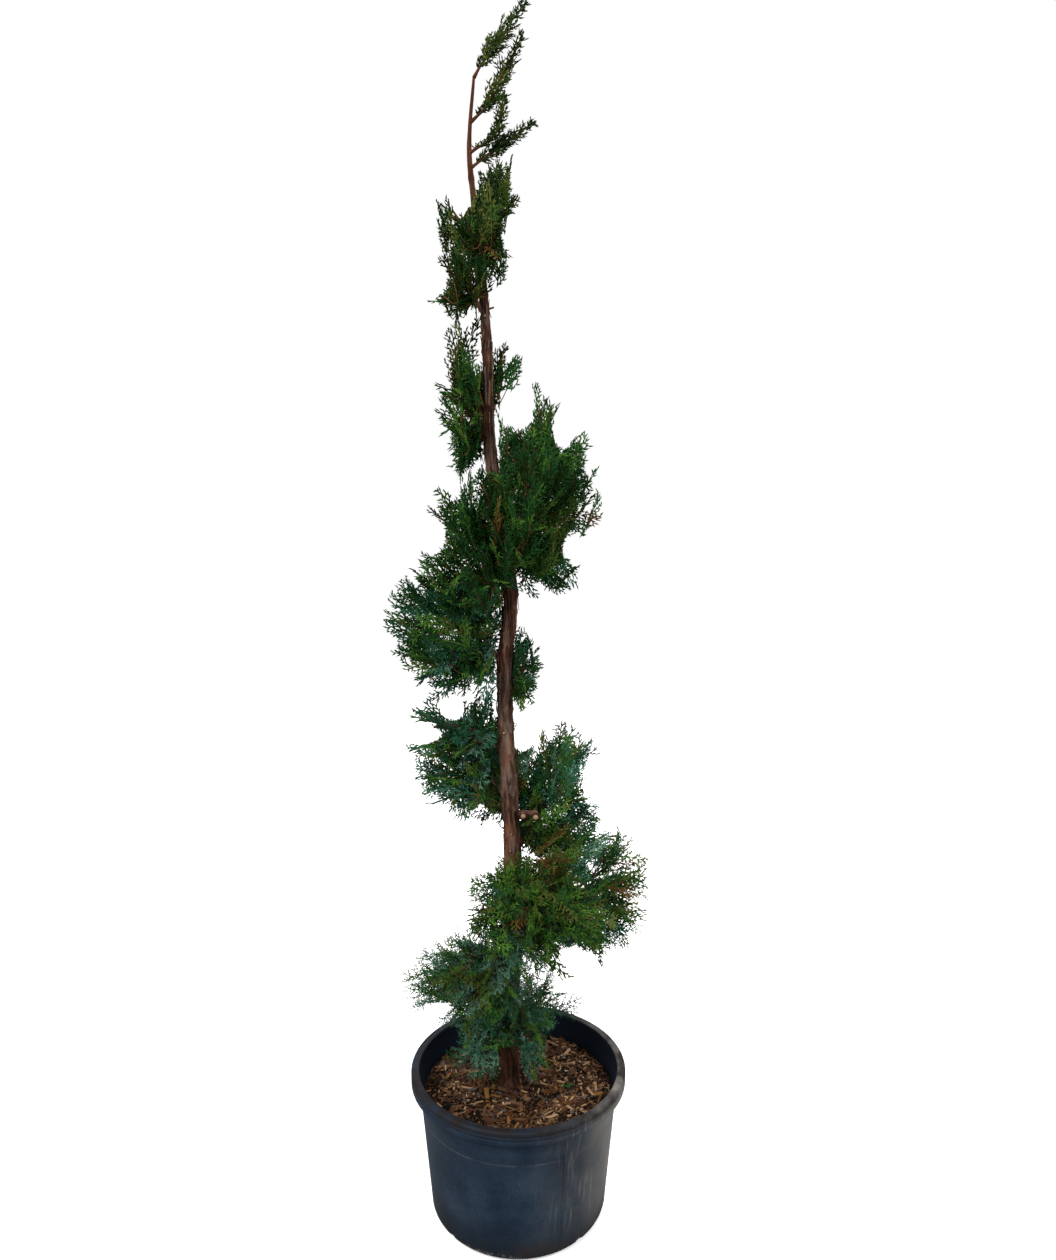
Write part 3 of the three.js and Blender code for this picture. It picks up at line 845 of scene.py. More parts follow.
profile = arc_points(outer_corner, corner_radius, -90, 0, 8)
profile += [(body_radius(z), z) for z in (0.06, 0.12, 0.18, step_height - 0.001)]
profile += [(body_radius(step_height) + step_out, step_height + 0.0006)]
profile += [(body_radius(z) + step_out, z) for z in (lip_foot - 0.03, lip_foot, deck_height - 0.006)]
profile += arc_points((body_radius(deck_height) + 0.006, deck_height - 0.006), deck_round, 180, 90, 4)
profile += arc_points((lip_radius - 0.0075, deck_height - 0.0056), 0.0046, 90, 0, 4)
profile += arc_points((lip_radius - lip_edge, lip_foot + lip_edge), lip_edge, 180, 360, 6)
for groove in groove_heights:
    profile += [
        (lip_radius - depth, lip_foot + groove + rise)
        for depth, rise in ((0, 0), (groove_depth, 0.0012), (groove_depth, 0.0022), (0, 0.0034))
    ]
profile += arc_points((lip_radius - lip_round, pot_height - lip_round), lip_round, 0, 90, 6)
profile += [(body_radius(pot_height) + 0.004, pot_height - 0.0006)]
profile += arc_points((body_radius(pot_height) + 0.0005, pot_height - 0.0035), mouth_round, 90, 180, 5)
profile += [(body_radius(z) - wall, z) for z in (pot_height - 0.012, 0.274)]
profile += [(body_radius(z) - wall - 0.0008, z) for z in (0.272, 0.2, 0.13, 0.07)]
profile += arc_points(inner_corner, inner_radius, 0, -90, 5)
pot = turned_piece("pot_shell", profile, pot_sides)
print("pot pulled up:", len(profile), "rings,", triangles_of(pot), "triangles")

# %% [markdown]
# The mould leaves two upright seams on the body, and four holes are pressed through the lower
# corner so that water can leave. The seams are slim bars laid against the wall. The holes are cut
# with a Boolean modifier by a cylinder that points down and out, and the modifier is applied.


# %% Seams
seam_headings = (27, 207)
seam_foot, seam_top = 0.03, lip_foot - 0.002
seam_width, seam_depth = 0.0016, 0.0014


def at_heading(heading, radius, height):
    angle = math.radians(heading)
    return Vector((radius * math.sin(angle), -radius * math.cos(angle), height))


def add_to_pot(part, operation):
    """Joins or cuts a part with the pot by a Boolean modifier, and removes the part."""
    modifier = pot.modifiers.new(operation.lower(), "BOOLEAN")
    modifier.operation = operation
    modifier.solver = "EXACT"
    modifier.object = part
    select_only(pot)
    bpy.ops.object.modifier_apply(modifier=modifier.name)
    bpy.data.objects.remove(part)


for heading in seam_headings:
    foot = at_heading(heading, body_radius(seam_foot), seam_foot)
    top = at_heading(heading, body_radius(seam_top) + seam_depth / 2, seam_top)
    deselect_all()
    bpy.ops.mesh.primitive_cube_add(size=1, location=(foot + top) / 2)
    seam = bpy.context.object
    seam.scale = (seam_width, seam_depth, (top - foot).length)
    seam.rotation_euler = (top - foot).to_track_quat("Z", "Y").to_euler()
    add_to_pot(seam, "UNION")
print("pot with", len(seam_headings), "seams:", triangles_of(pot), "triangles")

# %% Drain holes
drain_headings = [43 + 90 * i for i in range(4)]
drain_radius = 0.011
drill_length = 0.034
drain_slope = math.radians(40)

for heading in drain_headings:
    deselect_all()
    bpy.ops.mesh.primitive_cylinder_add(vertices=28, radius=drain_radius, depth=drill_length)
    drill = bpy.context.object
    drill.location = at_heading(heading, base_radius - 0.004, 0.007)
    slope = at_heading(heading, 1, -math.tan(drain_slope))
    drill.rotation_euler = slope.to_track_quat("Z", "Y").to_euler()
    add_to_pot(drill, "DIFFERENCE")
print("pot with", len(drain_headings), "drain holes:", triangles_of(pot), "triangles")

# %% The pot's surface
select_only(pot)
bpy.ops.object.shade_smooth_by_angle(angle=math.radians(28))
pot.data.materials.clear()
pot.data.materials.append(pot_plastic)
pot.data.materials.append(inner_plastic)
for polygon in pot.data.polygons:
    height = polygon.center.z
    inside = math.hypot(*polygon.center.xy) < body_radius(height) - 0.6 * wall
    polygon.material_index = int(inside and height > floor_thickness)
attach(pot, "root")
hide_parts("pot")
print("pot:", triangles_of(pot), "triangles")

# %% [markdown]
# ## The growing mix
# Under the bark chips lies a bed of composted fines that fills the pot. It is pulled up like the
# pot, with many rings over its top, and then its surface is roughened in code by two sizes of
# noise. A Displace modifier would push the whole bed, walls too, so the points are moved directly
# and only on the top.

# %% The bed of fines
ground = ground_level * MM
mix_edge_drop = 0.006
wall_gap = 0.0012
bed_inner = body_radius(0.25) - wall - wall_gap
trunk_foot_x = trunk_places[0][0]
lump_height, crumb_height = 0.0042, 0.0018
lumps_per_metre, crumbs_per_metre = 28, 130
top_rings = 62


def bed_height(x, y):
    """The bed's height above the floor: low at the wall, and lumpy but for the trunk's foot."""
    edge = mix_edge_drop * max(0, (math.hypot(x, y) - 0.15) / 0.042) ** 2
    calm = min(1, max(0, (math.hypot(x - trunk_foot_x * MM, y) - 0.02) / 0.03))
    lumps = noise.noise(Vector((x * lumps_per_metre, y * lumps_per_metre, 3))) * lump_height
    crumbs = noise.noise(Vector((x * crumbs_per_metre, y * crumbs_per_metre, 7))) * crumb_height
    return ground - edge + (lumps + crumbs - 0.001) * calm


bed_profile = [(body_radius(0.02) - 0.0225, 0.0046), (body_radius(0.02) - 0.0075, 0.0105)]
bed_profile += [(body_radius(0.02) - wall - wall_gap, 0.0230), (bed_inner, 0.2495)]
bed_profile += [(bed_inner * share, 0.252) for share in np.linspace(0.99, 0.012, top_rings)]
bed = turned_piece("potting_bed", bed_profile, 160)
for vertex in bed.data.vertices:
    if vertex.co.z > 0.2515:
        vertex.co.z = bed_height(vertex.co.x, vertex.co.y)
select_only(bed)
bpy.ops.object.shade_smooth()
print("bed pulled up:", len(bed_profile), "rings")


# %% The fines' material
def composted_fines():
    material = plain_material("composted_fines", (0.05, 0.03, 0.02), 0.95)
    lumps = place_patches(material, 60, 0.38, 0.66)
    colour = place_tints(material, lumps, (0.004, 0.002, 0.001), (0.016, 0.009, 0.006), (0.045, 0.026, 0.016))
    damp = place_patches(material, 11, 0.5, 0.62)
    colour = place_layers(material, colour, [((0.007, 0.004, 0.003), damp)])
    place_bump(material, place_patches(material, 420, 0.3, 0.7), 0.001, 0.8)
    return finish_material(material, colour)


bed.data.materials.append(composted_fines())
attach(bed, "root")
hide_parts("growing_mix")
print("bed:", triangles_of(bed), "triangles")

# %% [markdown]
# ## Many small things in one mesh
# Chips, twigs and leaves come in thousands. Each kind is worked out as arrays of corners and
# faces and handed to Blender in one go, which takes a second where separate objects would take
# minutes. A joined mesh can still hold several plain materials, dealt out part by part.


# %% Meshes from arrays
def piece_from_arrays(name, corners, faces, materials, face_materials, smooth=True):
    """A mesh object from corners (n, 3), triangles (m, 3) and one material number per triangle."""
    mesh = bpy.data.meshes.new(name)
    mesh.vertices.add(len(corners))
    mesh.vertices.foreach_set("co", np.asarray(corners, np.float32).ravel())
    mesh.loops.add(faces.size)
    mesh.loops.foreach_set("vertex_index", faces.astype(np.int32).ravel())
    mesh.polygons.add(len(faces))
    mesh.polygons.foreach_set("loop_start", np.arange(0, faces.size, 3, dtype=np.int32))
    mesh.polygons.foreach_set("material_index", np.asarray(face_materials, np.int32))
    mesh.polygons.foreach_set("use_smooth", np.full(len(faces), smooth))
    for material in materials:
        mesh.materials.append(material)
    mesh.update(calc_edges=True)
    mesh.validate()
    piece = bpy.data.objects.new(name, mesh)
    bpy.context.scene.collection.objects.link(piece)
    return piece


print("meshes so far:", len(bpy.data.meshes))


# %% Many parts, and many copies
def piece_of_parts(name, parts, materials, smooth=True):
    """Joins parts into one mesh. Each has corners in millimetres, faces and a material number."""
    corners, faces, numbers, count = [], [], [], 0
    for part_corners, part_faces, number in parts:
        corners.append(part_corners)
        faces.append(part_faces + count)
        numbers.append(np.full(len(part_faces), number))
        count += len(part_corners)
    numbers = np.concatenate(numbers)
    return piece_from_arrays(name, np.vstack(corners) * MM, np.vstack(faces), materials, numbers, smooth)


def piece_of_copies(name, forms, faces, materials, numbers):
    """Joins copies of a form, (n, corners, 3) in millimetres, with a material number for each."""
    firsts = forms.shape[1] * np.arange(len(forms))
    all_faces = (faces + firsts[:, None, None]).reshape(-1, 3)
    numbers = np.repeat(numbers, len(faces))
    return piece_from_arrays(name, forms.reshape(-1, 3) * MM, all_faces, materials, numbers, False)


def tube_faces(rings, sides):
    """Two triangles for each place between the rings of a tube."""
    faces = []
    for ring in range(rings - 1):
        for k in range(sides):
            a, b = ring * sides + k, ring * sides + (k + 1) % sides
            faces += [(a, b, b + sides), (a, b + sides, a + sides)]
    return faces


print("faces round a tube of 4 rings:", len(tube_faces(4, 6)))


# %% Limbs
def limb_part(places, radii, sides, number=0, relief=None, point=0.8):
    """A closed tapering limb along places, with a low cone at each end."""
    places = np.asarray(places, float)
    radii = np.asarray(radii, float)
    tangents = unit(np.gradient(places, axis=0))
    across = unit(np.cross(tangents[0], [0.3, 1, 0.2]))
    turns = np.arange(sides) * 2 * math.pi / sides
    rings = []
    for place, radius, tangent in zip(places, radii, tangents):
        across = unit(across - tangent * (across @ tangent))
        over = np.cross(tangent, across)
        ring = np.outer(np.cos(turns), across) + np.outer(np.sin(turns), over)
        bulge = 1.0 if relief is None else relief(place + ring * radius)[:, None]
        rings.append(place + ring * radius * bulge)
    ends = [places[0] - tangents[0] * radii[0] * 0.4, places[-1] + tangents[-1] * radii[-1] * point]
    corners = np.vstack(rings + ends)
    faces = tube_faces(len(places), sides)
    foot, tip = len(corners) - 2, len(corners) - 1
    last = (len(places) - 1) * sides
    for k in range(sides):
        following = (k + 1) % sides
        faces += [(foot, following, k), (tip, last + k, last + following)]
    return corners, np.array(faces), number


print("faces of a limb of 4 rings:", len(limb_part(np.eye(4, 3), np.ones(4), 6)[1]))

# %% [markdown]
# ## The bark
# Juniper bark is thin and fibrous. It splits into long upright plates with dark cracks between
# them, red-brown where it has just opened and grey where it has weathered, and it peels away in
# narrow strips. The colours follow one stretched mask, so plates and cracks match. Grey, red and
# dark damp patches are laid over it, and towards the top the young bark is smooth and orange.


# %% The bark's material
def peeling_bark():
    material = plain_material("peeling_bark", (0.1, 0.05, 0.04), 0.9)
    patches = partial(place_patches, material)
    fibres = patches(230, 0.34, 0.66, (1, 1, 0.09))
    plates = place_maths(material, "MULTIPLY", patches(62, 0.36, 0.62, (1, 1, 0.16)), 0.62)
    mask = place_maths(material, "MULTIPLY_ADD", fibres, 0.45, plates)
    layers = {
        "weathered": ((0.110, 0.088, 0.076), patches(13, 0.48, 0.62, (1, 1, 0.4)), mask),
        "freshly open": ((0.135, 0.042, 0.020), patches(34, 0.48, 0.60, (1, 1, 0.3)), mask, 0.8),
        "damp": ((0.007, 0.003, 0.002), patches(26, 0.5, 0.6, (1, 1, 0.45)), 0.7),
        "young": ((0.048, 0.015, 0.006), place_band(material, "Z", 1.93, 2.06), 0.85),
    }
    colour = place_tints(material, mask, (0.003, 0.001, 0.001), (0.040, 0.017, 0.010), (0.175, 0.098, 0.066))
    place_bump(material, fibres, 0.0009)
    return finish_material(material, place_layers(material, colour, layers.values()))


bark = peeling_bark()
print("bark:", len(bark.node_tree.nodes), "nodes")

# %% [markdown]
# ## The trunk
# A cylinder's upright edges are subdivided into some four hundred rings, and each point is then
# moved to its place round the winding line, narrowing as it climbs. The relief goes in with the
# same move: low plates with sharp cracks from ridged noise, fine fibres on them, a swollen
# collar where a bough leaves, and a low ring round each old whorl of twigs. It is deep enough to
# break the trunk's outline, as real bark does.


# %% The trunk's rings
def select_edges(piece, chosen):
    """Enters edit mode with only those edges selected for which chosen(one end, other end) is true."""
    bpy.ops.object.mode_set(mode="EDIT")
    bpy.ops.mesh.select_mode(type="EDGE")
    bpy.ops.mesh.select_all(action="DESELECT")
    bpy.ops.object.mode_set(mode="OBJECT")
    for edge in piece.data.edges:
        one, other = (piece.data.vertices[i].co for i in edge.vertices)
        edge.select = chosen(one, other)
    bpy.ops.object.mode_set(mode="EDIT")


trunk_sides = 80
trunk_foot = ground_level + 0.3
trunk_top = trunk_places[-1][2]

deselect_all()
bpy.ops.mesh.primitive_cylinder_add(vertices=trunk_sides, radius=1, depth=1, end_fill_type="NGON")
trunk = bpy.context.object
trunk.name = "trunk_bark"
for cuts in (20, 19):
    select_edges(trunk, lambda low, high: abs(low.z - high.z) > 1e-4)
    bpy.ops.mesh.subdivide(number_cuts=cuts)
    bpy.ops.object.mode_set(mode="OBJECT")
print("trunk:", len(trunk.data.vertices) // trunk_sides, "rings,", triangles_of(trunk), "triangles")


# %% The bark's relief
def ridged(place):
    """Noise with sharp crests, from 0 in the valleys to 1 on the crests."""
    return 1 - min(1, abs(noise.noise(place)) * 2.6)


def bark_rise(direction, height, radius):
    """How far the bark stands out in millimetres. Height and radius are in metres."""
    x, y = direction
    winding = height * 2.2
    turned_x = x * math.cos(winding) - y * math.sin(winding)
    turned_y = x * math.sin(winding) + y * math.cos(winding)
    plates = noise.noise(Vector((turned_x * 2.4, turned_y * 2.4, height * 15)))
    cracks = ridged(Vector((turned_x * 3.3, turned_y * 3.3, height * 11 + 40)))
    fibres = noise.noise(Vector((turned_x * 11, turned_y * 11, height * 34)))
    crumbs = noise.noise(Vector((x * 9, y * 9, height * 160)))
    rise = 2.1 * plates - 1.8 * max(0, cracks - 0.5) / 0.5 + 0.9 * fibres + 0.6 * crumbs
    return rise * min(1, radius * 1000 / 12)


print("relief at one place:", round(bark_rise((1, 0), 1.0, 0.016), 2), "mm")


# %% Collars and old whorls
forks = [
    (mass["line"][0][2], unit((mass["mouth"] - mass["line"][0])[:2])) for mass in masses if mass["has_bough"]
]
scar_draws = np.random.default_rng(3)
scars = [(z + scar_draws.uniform(-14, 14), scar_draws.uniform(0.8, 2.4)) for z in range(320, 2040, 43)]


def bark_radius(direction, height):
    """The trunk's radius with its bark at a heading and a height, all in millimetres."""
    radius = float(trunk_radius_at(height))
    if not trunk_foot + 0.5 < height < trunk_top - 2:
        return radius
    radius += bark_rise(direction, height * MM, radius * MM)
    for fork_height, fork_heading in forks:
        above = (height - fork_height - 8) / 14
        if abs(above) < 2:
            radius += 3.2 * math.exp(-above * above) * max(0, direction @ fork_heading) ** 2
    for scar_height, width in scars:
        above = (height - scar_height) / 5
        if abs(above) < 2:
            radius += width * math.exp(-above * above) * min(1, radius / 12)
    return radius


print("collars:", len(forks), "and old whorls:", len(scars))


# %% The trunk's surface
for vertex in trunk.data.vertices:
    height = trunk_foot + (vertex.co.z + 0.5) * (trunk_top - trunk_foot)
    heading = unit(np.array(vertex.co.xy))
    vertex.co = (trunk_at(height) + np.array([*heading * bark_radius(heading, height), 0])) * MM
select_only(trunk)
bpy.ops.object.shade_smooth()
trunk.data.materials.append(bark)
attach(trunk, "root")
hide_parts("trunk")
print("relief done, trunk's box", [round(v, 3) for v in trunk.dimensions])

# %% [markdown]
# ## Boughs and stems
# Each bough leaves the trunk at an acute angle, rises a little and runs on as the stem of its
# mass. On a clipped juniper it is a slim rod with the trunk's own bark. A limb is a tube of rings
# along its line, and all of them are joined into one piece that takes the boughs' place.


# %% Boughs
def knobbly(places):
    """Small swellings on a limb, as a share of its radius."""
    return np.array([1 + 0.16 * noise.noise(Vector(place * 0.09)) for place in places])


bough_parts = []
for mass in masses:
    shares = np.linspace(0, 1, 22)
    radii = mass["radius"] * (1 - 0.62 * shares)
    radii[:3] *= (1.35, 1.2, 1.08)
    bough_parts.append(limb_part(along(mass["line"], shares), radii, 9, relief=knobbly))
boughs = piece_of_parts("boughs", bough_parts, [bark])
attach(boughs, "root")
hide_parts(*[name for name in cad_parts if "_bough_" in name])
print("boughs:", triangles_of(boughs), "triangles")

# %% [markdown]
# ## Peeling strips
# Old juniper bark comes loose in narrow strips. One end stays fixed and the other lifts off and
# curls a little. A strip is a thin bar with a rectangular section that follows the trunk's own
# relief and then leaves it, so it throws a fine shadow that no painted pattern could throw.


# %% Bark strips
strip_count = 190
strip_feet = (285, 1880)  # millimetres
strip_lengths, strip_lifts, strip_widths = (22, 80), (0.8, 5.0), (2.2, 5.2)


def strip_part(places, normals, widths, thickness, number):
    """A closed thin strip along places, with its broad side facing along the normals."""
    places, normals = np.asarray(places, float), np.asarray(normals, float)
    across = unit(np.cross(normals, np.gradient(places, axis=0))) * np.asarray(widths)[:, None] / 2
    rise = normals * thickness / 2
    sides = [-across - rise, across - rise, across + rise, -across + rise]
    corners = np.stack([places + side for side in sides], axis=1).reshape(-1, 3)
    faces = tube_faces(len(places), 4)
    last = len(corners) - 4
    faces += [(0, 2, 1), (0, 3, 2), (last, last + 1, last + 2), (last, last + 2, last + 3)]
    return corners, np.array(faces), number


def peeling_strip(draws):
    """One strip of bark that lifts off the trunk towards its upper or its lower end."""
    shares = np.linspace(0, 1, 8)
    foot = draws.uniform(*strip_feet)
    length = draws.uniform(*strip_lengths)
    upwards = 1 if draws.random() < 0.4 else -1
    lift = draws.uniform(*strip_lifts)
    angles = math.radians(draws.uniform(0, 360)) + shares * draws.normal(0, 0.22)
    heights = np.clip(foot + upwards * length * shares, 275, 1960)
    facings = np.stack([np.cos(angles), np.sin(angles)], axis=1)
    clear = np.array([bark_radius(facing, height) for facing, height in zip(facings, heights)])
    clear += -0.25 + lift * np.maximum(0, (shares - 0.3) / 0.7) ** 1.7
    places = trunk_at(heights)
    places[:, :2] += facings * clear[:, None]
    normals = np.column_stack([facings, np.zeros(len(shares))])
    widths = draws.uniform(*strip_widths) * (0.45 + 0.55 * np.sin(math.pi * (0.12 + 0.76 * shares)))
    return strip_part(places, normals, widths, draws.uniform(0.5, 0.8), draws.choice(3, p=(0.45, 0.3, 0.25)))


print("strips wanted:", strip_count)


# %% The strips in one mesh
strip_draws = np.random.default_rng(21)
strip_parts = [peeling_strip(strip_draws) for _ in range(strip_count)]
strip_materials = [
    plain_material("strip_red", (0.036, 0.013, 0.007), 0.9),
    plain_material("strip_grey", (0.060, 0.047, 0.040), 0.9),
    plain_material("strip_tan", (0.090, 0.050, 0.030), 0.9),
]
strips = piece_of_parts("bark_strips", strip_parts, strip_materials, smooth=False)
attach(strips, "root")
print("bark strips:", triangles_of(strips), "triangles")

# %% [markdown]
# ## Pruning stubs
# The trunk was bared by cutting its side shoots off. What stays is a short round stub with the
# pale wood of the cut at its end. Most are thin, and two thick ones right of the trunk bend
# forwards. Each is a limb with a blunt end, and a second, very short limb makes the cut face.


# %% Pruning stubs
def cut_shoot(line, radius):
    """A cut shoot along four places, thickest at its foot, and the pale disc of its cut."""
    end = line[-1]
    forward = unit(end - line[-2])
    wood = limb_part(line, radius * np.array([1.35, 1.15, 1.0, 1.0]), 10, 0, knobbly, 0.02)
    face = [end - forward * 0.5, end, end + forward * 0.3]
    return [wood, limb_part(face, np.full(3, radius * 0.82), 10, 1, point=0.05)]


def stub_parts(place, direction, length, radius):
    """A straight stub on the trunk."""
    shares = np.linspace(0, 1, 4)[:, None]
    return cut_shoot(place + unit(np.array(direction, float)) * length * shares, radius)


stub_draws = np.random.default_rng(8)
stub_lengths, stub_radii = (5, 12), (1.3, 2.8)
thick_stubs = [  # height, places along it from the trunk's middle, radius
    (830, [(0, 0, 0), (20, -8, 8), (25, -30, 18), (24, -60, 21)], 5.2),
    (826, [(0, 0, 0), (36, -4, 10), (46, -30, 20), (47, -63, 24)], 5.8),
]
parts = []
for height in np.linspace(300, 1900, 30):
    height = height + stub_draws.uniform(-22, 22)
    angle = stub_draws.uniform(0, 2 * math.pi)
    facing = np.array([math.cos(angle), math.sin(angle)])
    place = trunk_at(height) + np.array([*facing, 0]) * (bark_radius(facing, height) - 2)
    direction = [*facing, stub_draws.uniform(0.2, 0.7)]
    parts += stub_parts(place, direction, stub_draws.uniform(*stub_lengths), stub_draws.uniform(*stub_radii))
for height, bends, radius in thick_stubs:
    parts += cut_shoot(trunk_at(height) + np.array(bends, float), radius)
cut_wood = plain_material("cut_wood", (0.21, 0.135, 0.080), 0.8)
stubs = piece_of_parts("pruning_stubs", parts, [bark, cut_wood])
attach(stubs, "root")
print("stubs:", triangles_of(stubs), "triangles")

# %% [markdown]
# ## Bark chips
# The mix is composted bark: flat, splintered chips from a few millimetres to a few centimetres,
# red-brown where they are fresh and dark where they have rotted, with a little white perlite
# among them. A chip is a box whose upright edges are pushed about, which makes it a crooked
# prism that is still closed. All the chips are worked out at once as arrays, and lie on the bed
# with a little tilt, some higher than others, as a raked bed settles. Rotten ones gather in damp
# patches, and dry ones where the sun reaches the mix.

# %% Bark chips
chips_from_trunk = 27  # millimetres from the trunk's middle
chips_rim = 188
chip_heights = (0.7, 2.2)
widest_push = 0.22  # how far a chip's edges are pushed about, as a share of its length and width
box_corners = np.array([(k & 1, k >> 1 & 1, k >> 2) for k in range(8)], float) - 0.5
box_faces = np.array([
    (0, 2, 3), (0, 3, 1), (4, 5, 7), (4, 7, 6), (0, 1, 5), (0, 5, 4), (2, 6, 7), (2, 7, 3),
    (0, 4, 6), (0, 6, 2), (1, 3, 7), (1, 7, 5),
])
chip_colours = {
    "chip_rotten": (0.005, 0.003, 0.002), "chip_red": (0.036, 0.015, 0.008),
    "chip_brown": (0.066, 0.033, 0.016), "chip_tan": (0.205, 0.124, 0.068),
    "chip_grey": (0.052, 0.043, 0.036), "chip_golden": (0.115, 0.056, 0.016),
    "perlite": (0.42, 0.40, 0.37),
}
chip_materials = [plain_material(name, colour, 0.9) for name, colour in chip_colours.items()]
print("chip colours:", ", ".join(chip_colours))


# %% Where the chips lie
def bed_places(count, rim, draws):
    """Places on the bed in millimetres, spread evenly within a radius and clear of the trunk."""
    radii = rim * np.sqrt(draws.uniform(0, 1, count))
    angles = draws.uniform(0, 2 * math.pi, count)
    places = np.stack([radii * np.cos(angles), radii * np.sin(angles)], axis=1)
    return places[np.hypot(places[:, 0] - trunk_foot_x, places[:, 1]) > chips_from_trunk]


def chip_boxes(places, lengths, widths, heights, lifts, tilt, draws):
    """Crooked flat boxes (n, 8, 3) on the bed, each turned and tilted its own way."""
    count = len(places)
    angles = draws.uniform(0, 2 * math.pi, count)
    normals = unit(np.column_stack([draws.normal(0, tilt, (count, 2)), np.ones(count)]))
    forward = np.column_stack([np.cos(angles), np.sin(angles), np.zeros(count)])
    forward = unit(forward - normals * np.sum(forward * normals, axis=1, keepdims=True))
    axes = np.stack([forward, np.cross(normals, forward), normals], axis=1)
    local = np.repeat(box_corners[None], count, axis=0)
    pushes = draws.uniform(-widest_push, widest_push, (count, 4, 2))
    local[:, :4, :2] += pushes
    local[:, 4:, :2] += pushes
    local = local * np.column_stack([lengths, widths, heights])[:, None]
    floor_heights = np.array([bed_height(x * MM, y * MM) / MM for x, y in places])
    centres = np.column_stack([places, floor_heights + lifts])
    return centres[:, None] + np.einsum("nki,nij->nkj", local, axes)


def chip_numbers(places, weights, draws):
    """A colour number for each chip: golden ones gather at the front, tan ones on the right."""
    shares = np.tile(np.array(weights, float), (len(places), 1))
    damp = np.array([noise.noise(Vector((x * 0.016, y * 0.016, 5))) for x, y in places])
    for name, factors in {
        "chip_golden": 1 + 3 * np.clip((-places[:, 1] - 110) / 60, 0, 1),
        "chip_tan": 1 + np.clip(places[:, 0] / 90, 0, 1.2),
        "chip_rotten": np.clip(1 + 5 * damp, 0.2, 4),
    }.items():
        shares[:, list(chip_colours).index(name)] *= factors
    shares = np.cumsum(shares / shares.sum(axis=1, keepdims=True), axis=1)
    return np.argmax(draws.random((len(places), 1)) < shares, axis=1)


print("bed height near the wall:", round(bed_height(0.18, 0), 4), "m")


# %% The chips in one mesh
mix_draws = np.random.default_rng(77)
chip_kinds = [  # count, lengths, widths, tilt, greatest lift, weight of each colour
    (8200, (2, 6), (1.2, 3), 0.35, 2.0, (38, 26, 18, 4, 8, 5, 0.9)),
    (1700, (5, 12), (2, 5), 0.24, 3.6, (24, 27, 24, 10, 9, 6, 0)),
    (260, (12, 28), (2, 7), 0.18, 6.0, (10, 28, 28, 20, 8, 6, 0)),
    (26, (24, 38), (4, 9), 0.30, 8.0, (4, 44, 34, 10, 0, 8, 0)),
]
boxes, numbers = [], []
for count, lengths, widths, tilt, lift, weights in chip_kinds:
    places = bed_places(count, chips_rim - lengths[1] / 2, mix_draws)
    spans = (lengths, widths, chip_heights, (0, lift))
    sizes = [mix_draws.uniform(*span, len(places)) for span in spans]
    boxes.append(chip_boxes(places, *sizes, tilt, mix_draws))
    numbers.append(chip_numbers(places, weights, mix_draws))
boxes, numbers = np.concatenate(boxes), np.concatenate(numbers)
chips = piece_of_copies("bark_chips", boxes, box_faces, chip_materials, numbers)
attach(chips, "root")
print("chips:", len(boxes), "in", triangles_of(chips), "triangles")

# %% [markdown]
# ## A spray of foliage
# Look closely at a juniper: there are no flat leaves, only green cords clad in tiny scales. A
# spray is one axis with branchlets that leave it at a narrow angle, left and right in turn, and
# each branchlet carries short cordlets of its own. The whole of it can be built from one small
# form, a spindle of four faces: a cord is a row of overlapping spindles, which also gives it the
# beaded look of scales. Needles on young shoots are thinner spindles that stand out all round.
# Building a few sprays and dealing them out, each bent and turned its own way, keeps it fast. For
# each cord the list of carriers says which earlier cord bears it, so none is ever left floating.

# %% One spindle
spindle_faces = np.array([(0, 1, 2), (3, 2, 1), (0, 3, 1), (0, 2, 3)])


def spindles(roots, tips, thicknesses, widest=0.45):
    """Spindles between roots and tips, as corners (n, 4, 3): root, one side, other side, tip."""
    roots, tips = np.asarray(roots, float), np.asarray(tips, float)
    thicknesses = np.asarray(thicknesses, float)[:, None]
    forward = unit(tips - roots)
    side = unit(np.cross(forward, [0.31, 0.22, 0.93]))
    ridge = roots + (tips - roots) * widest + np.cross(forward, side) * thicknesses * 0.62
    return np.stack([roots, ridge - side * thicknesses / 2, ridge + side * thicknesses / 2, tips], axis=1)


print("faces of a spindle:", len(spindle_faces))


# %% Building a spray
spray_axis = np.array([1.0, 0, 0])


def turned_from(direction, angle, roll):
    """A direction turned away from another one by an angle, towards a side given by a roll."""
    side = unit(np.cross(direction, [0.1, 0.05, 1.0]))
    over = np.cross(direction, side)
    away = side * math.cos(roll) + over * math.sin(roll)
    return direction * math.cos(angle) + away * math.sin(angle)


def row_of_cords(root, direction, length, thickness, bend, pitch=11, overlap=1.5):
    """A cord: overlapping (start, end, thickness) in a row that bends towards the bend vector."""
    count = max(1, round(length / pitch))
    shares = np.arange(count) / count
    starts = root + np.outer(shares * length, direction) + np.outer((shares * length) ** 2, bend)
    ends_at = np.minimum(shares + overlap / count, 1.04) * length
    ends = root + np.outer(ends_at, direction) + np.outer(ends_at**2, bend)
    return list(zip(starts, ends, thickness * (1 - 0.25 * shares)))


print("a spray grows along", spray_axis)


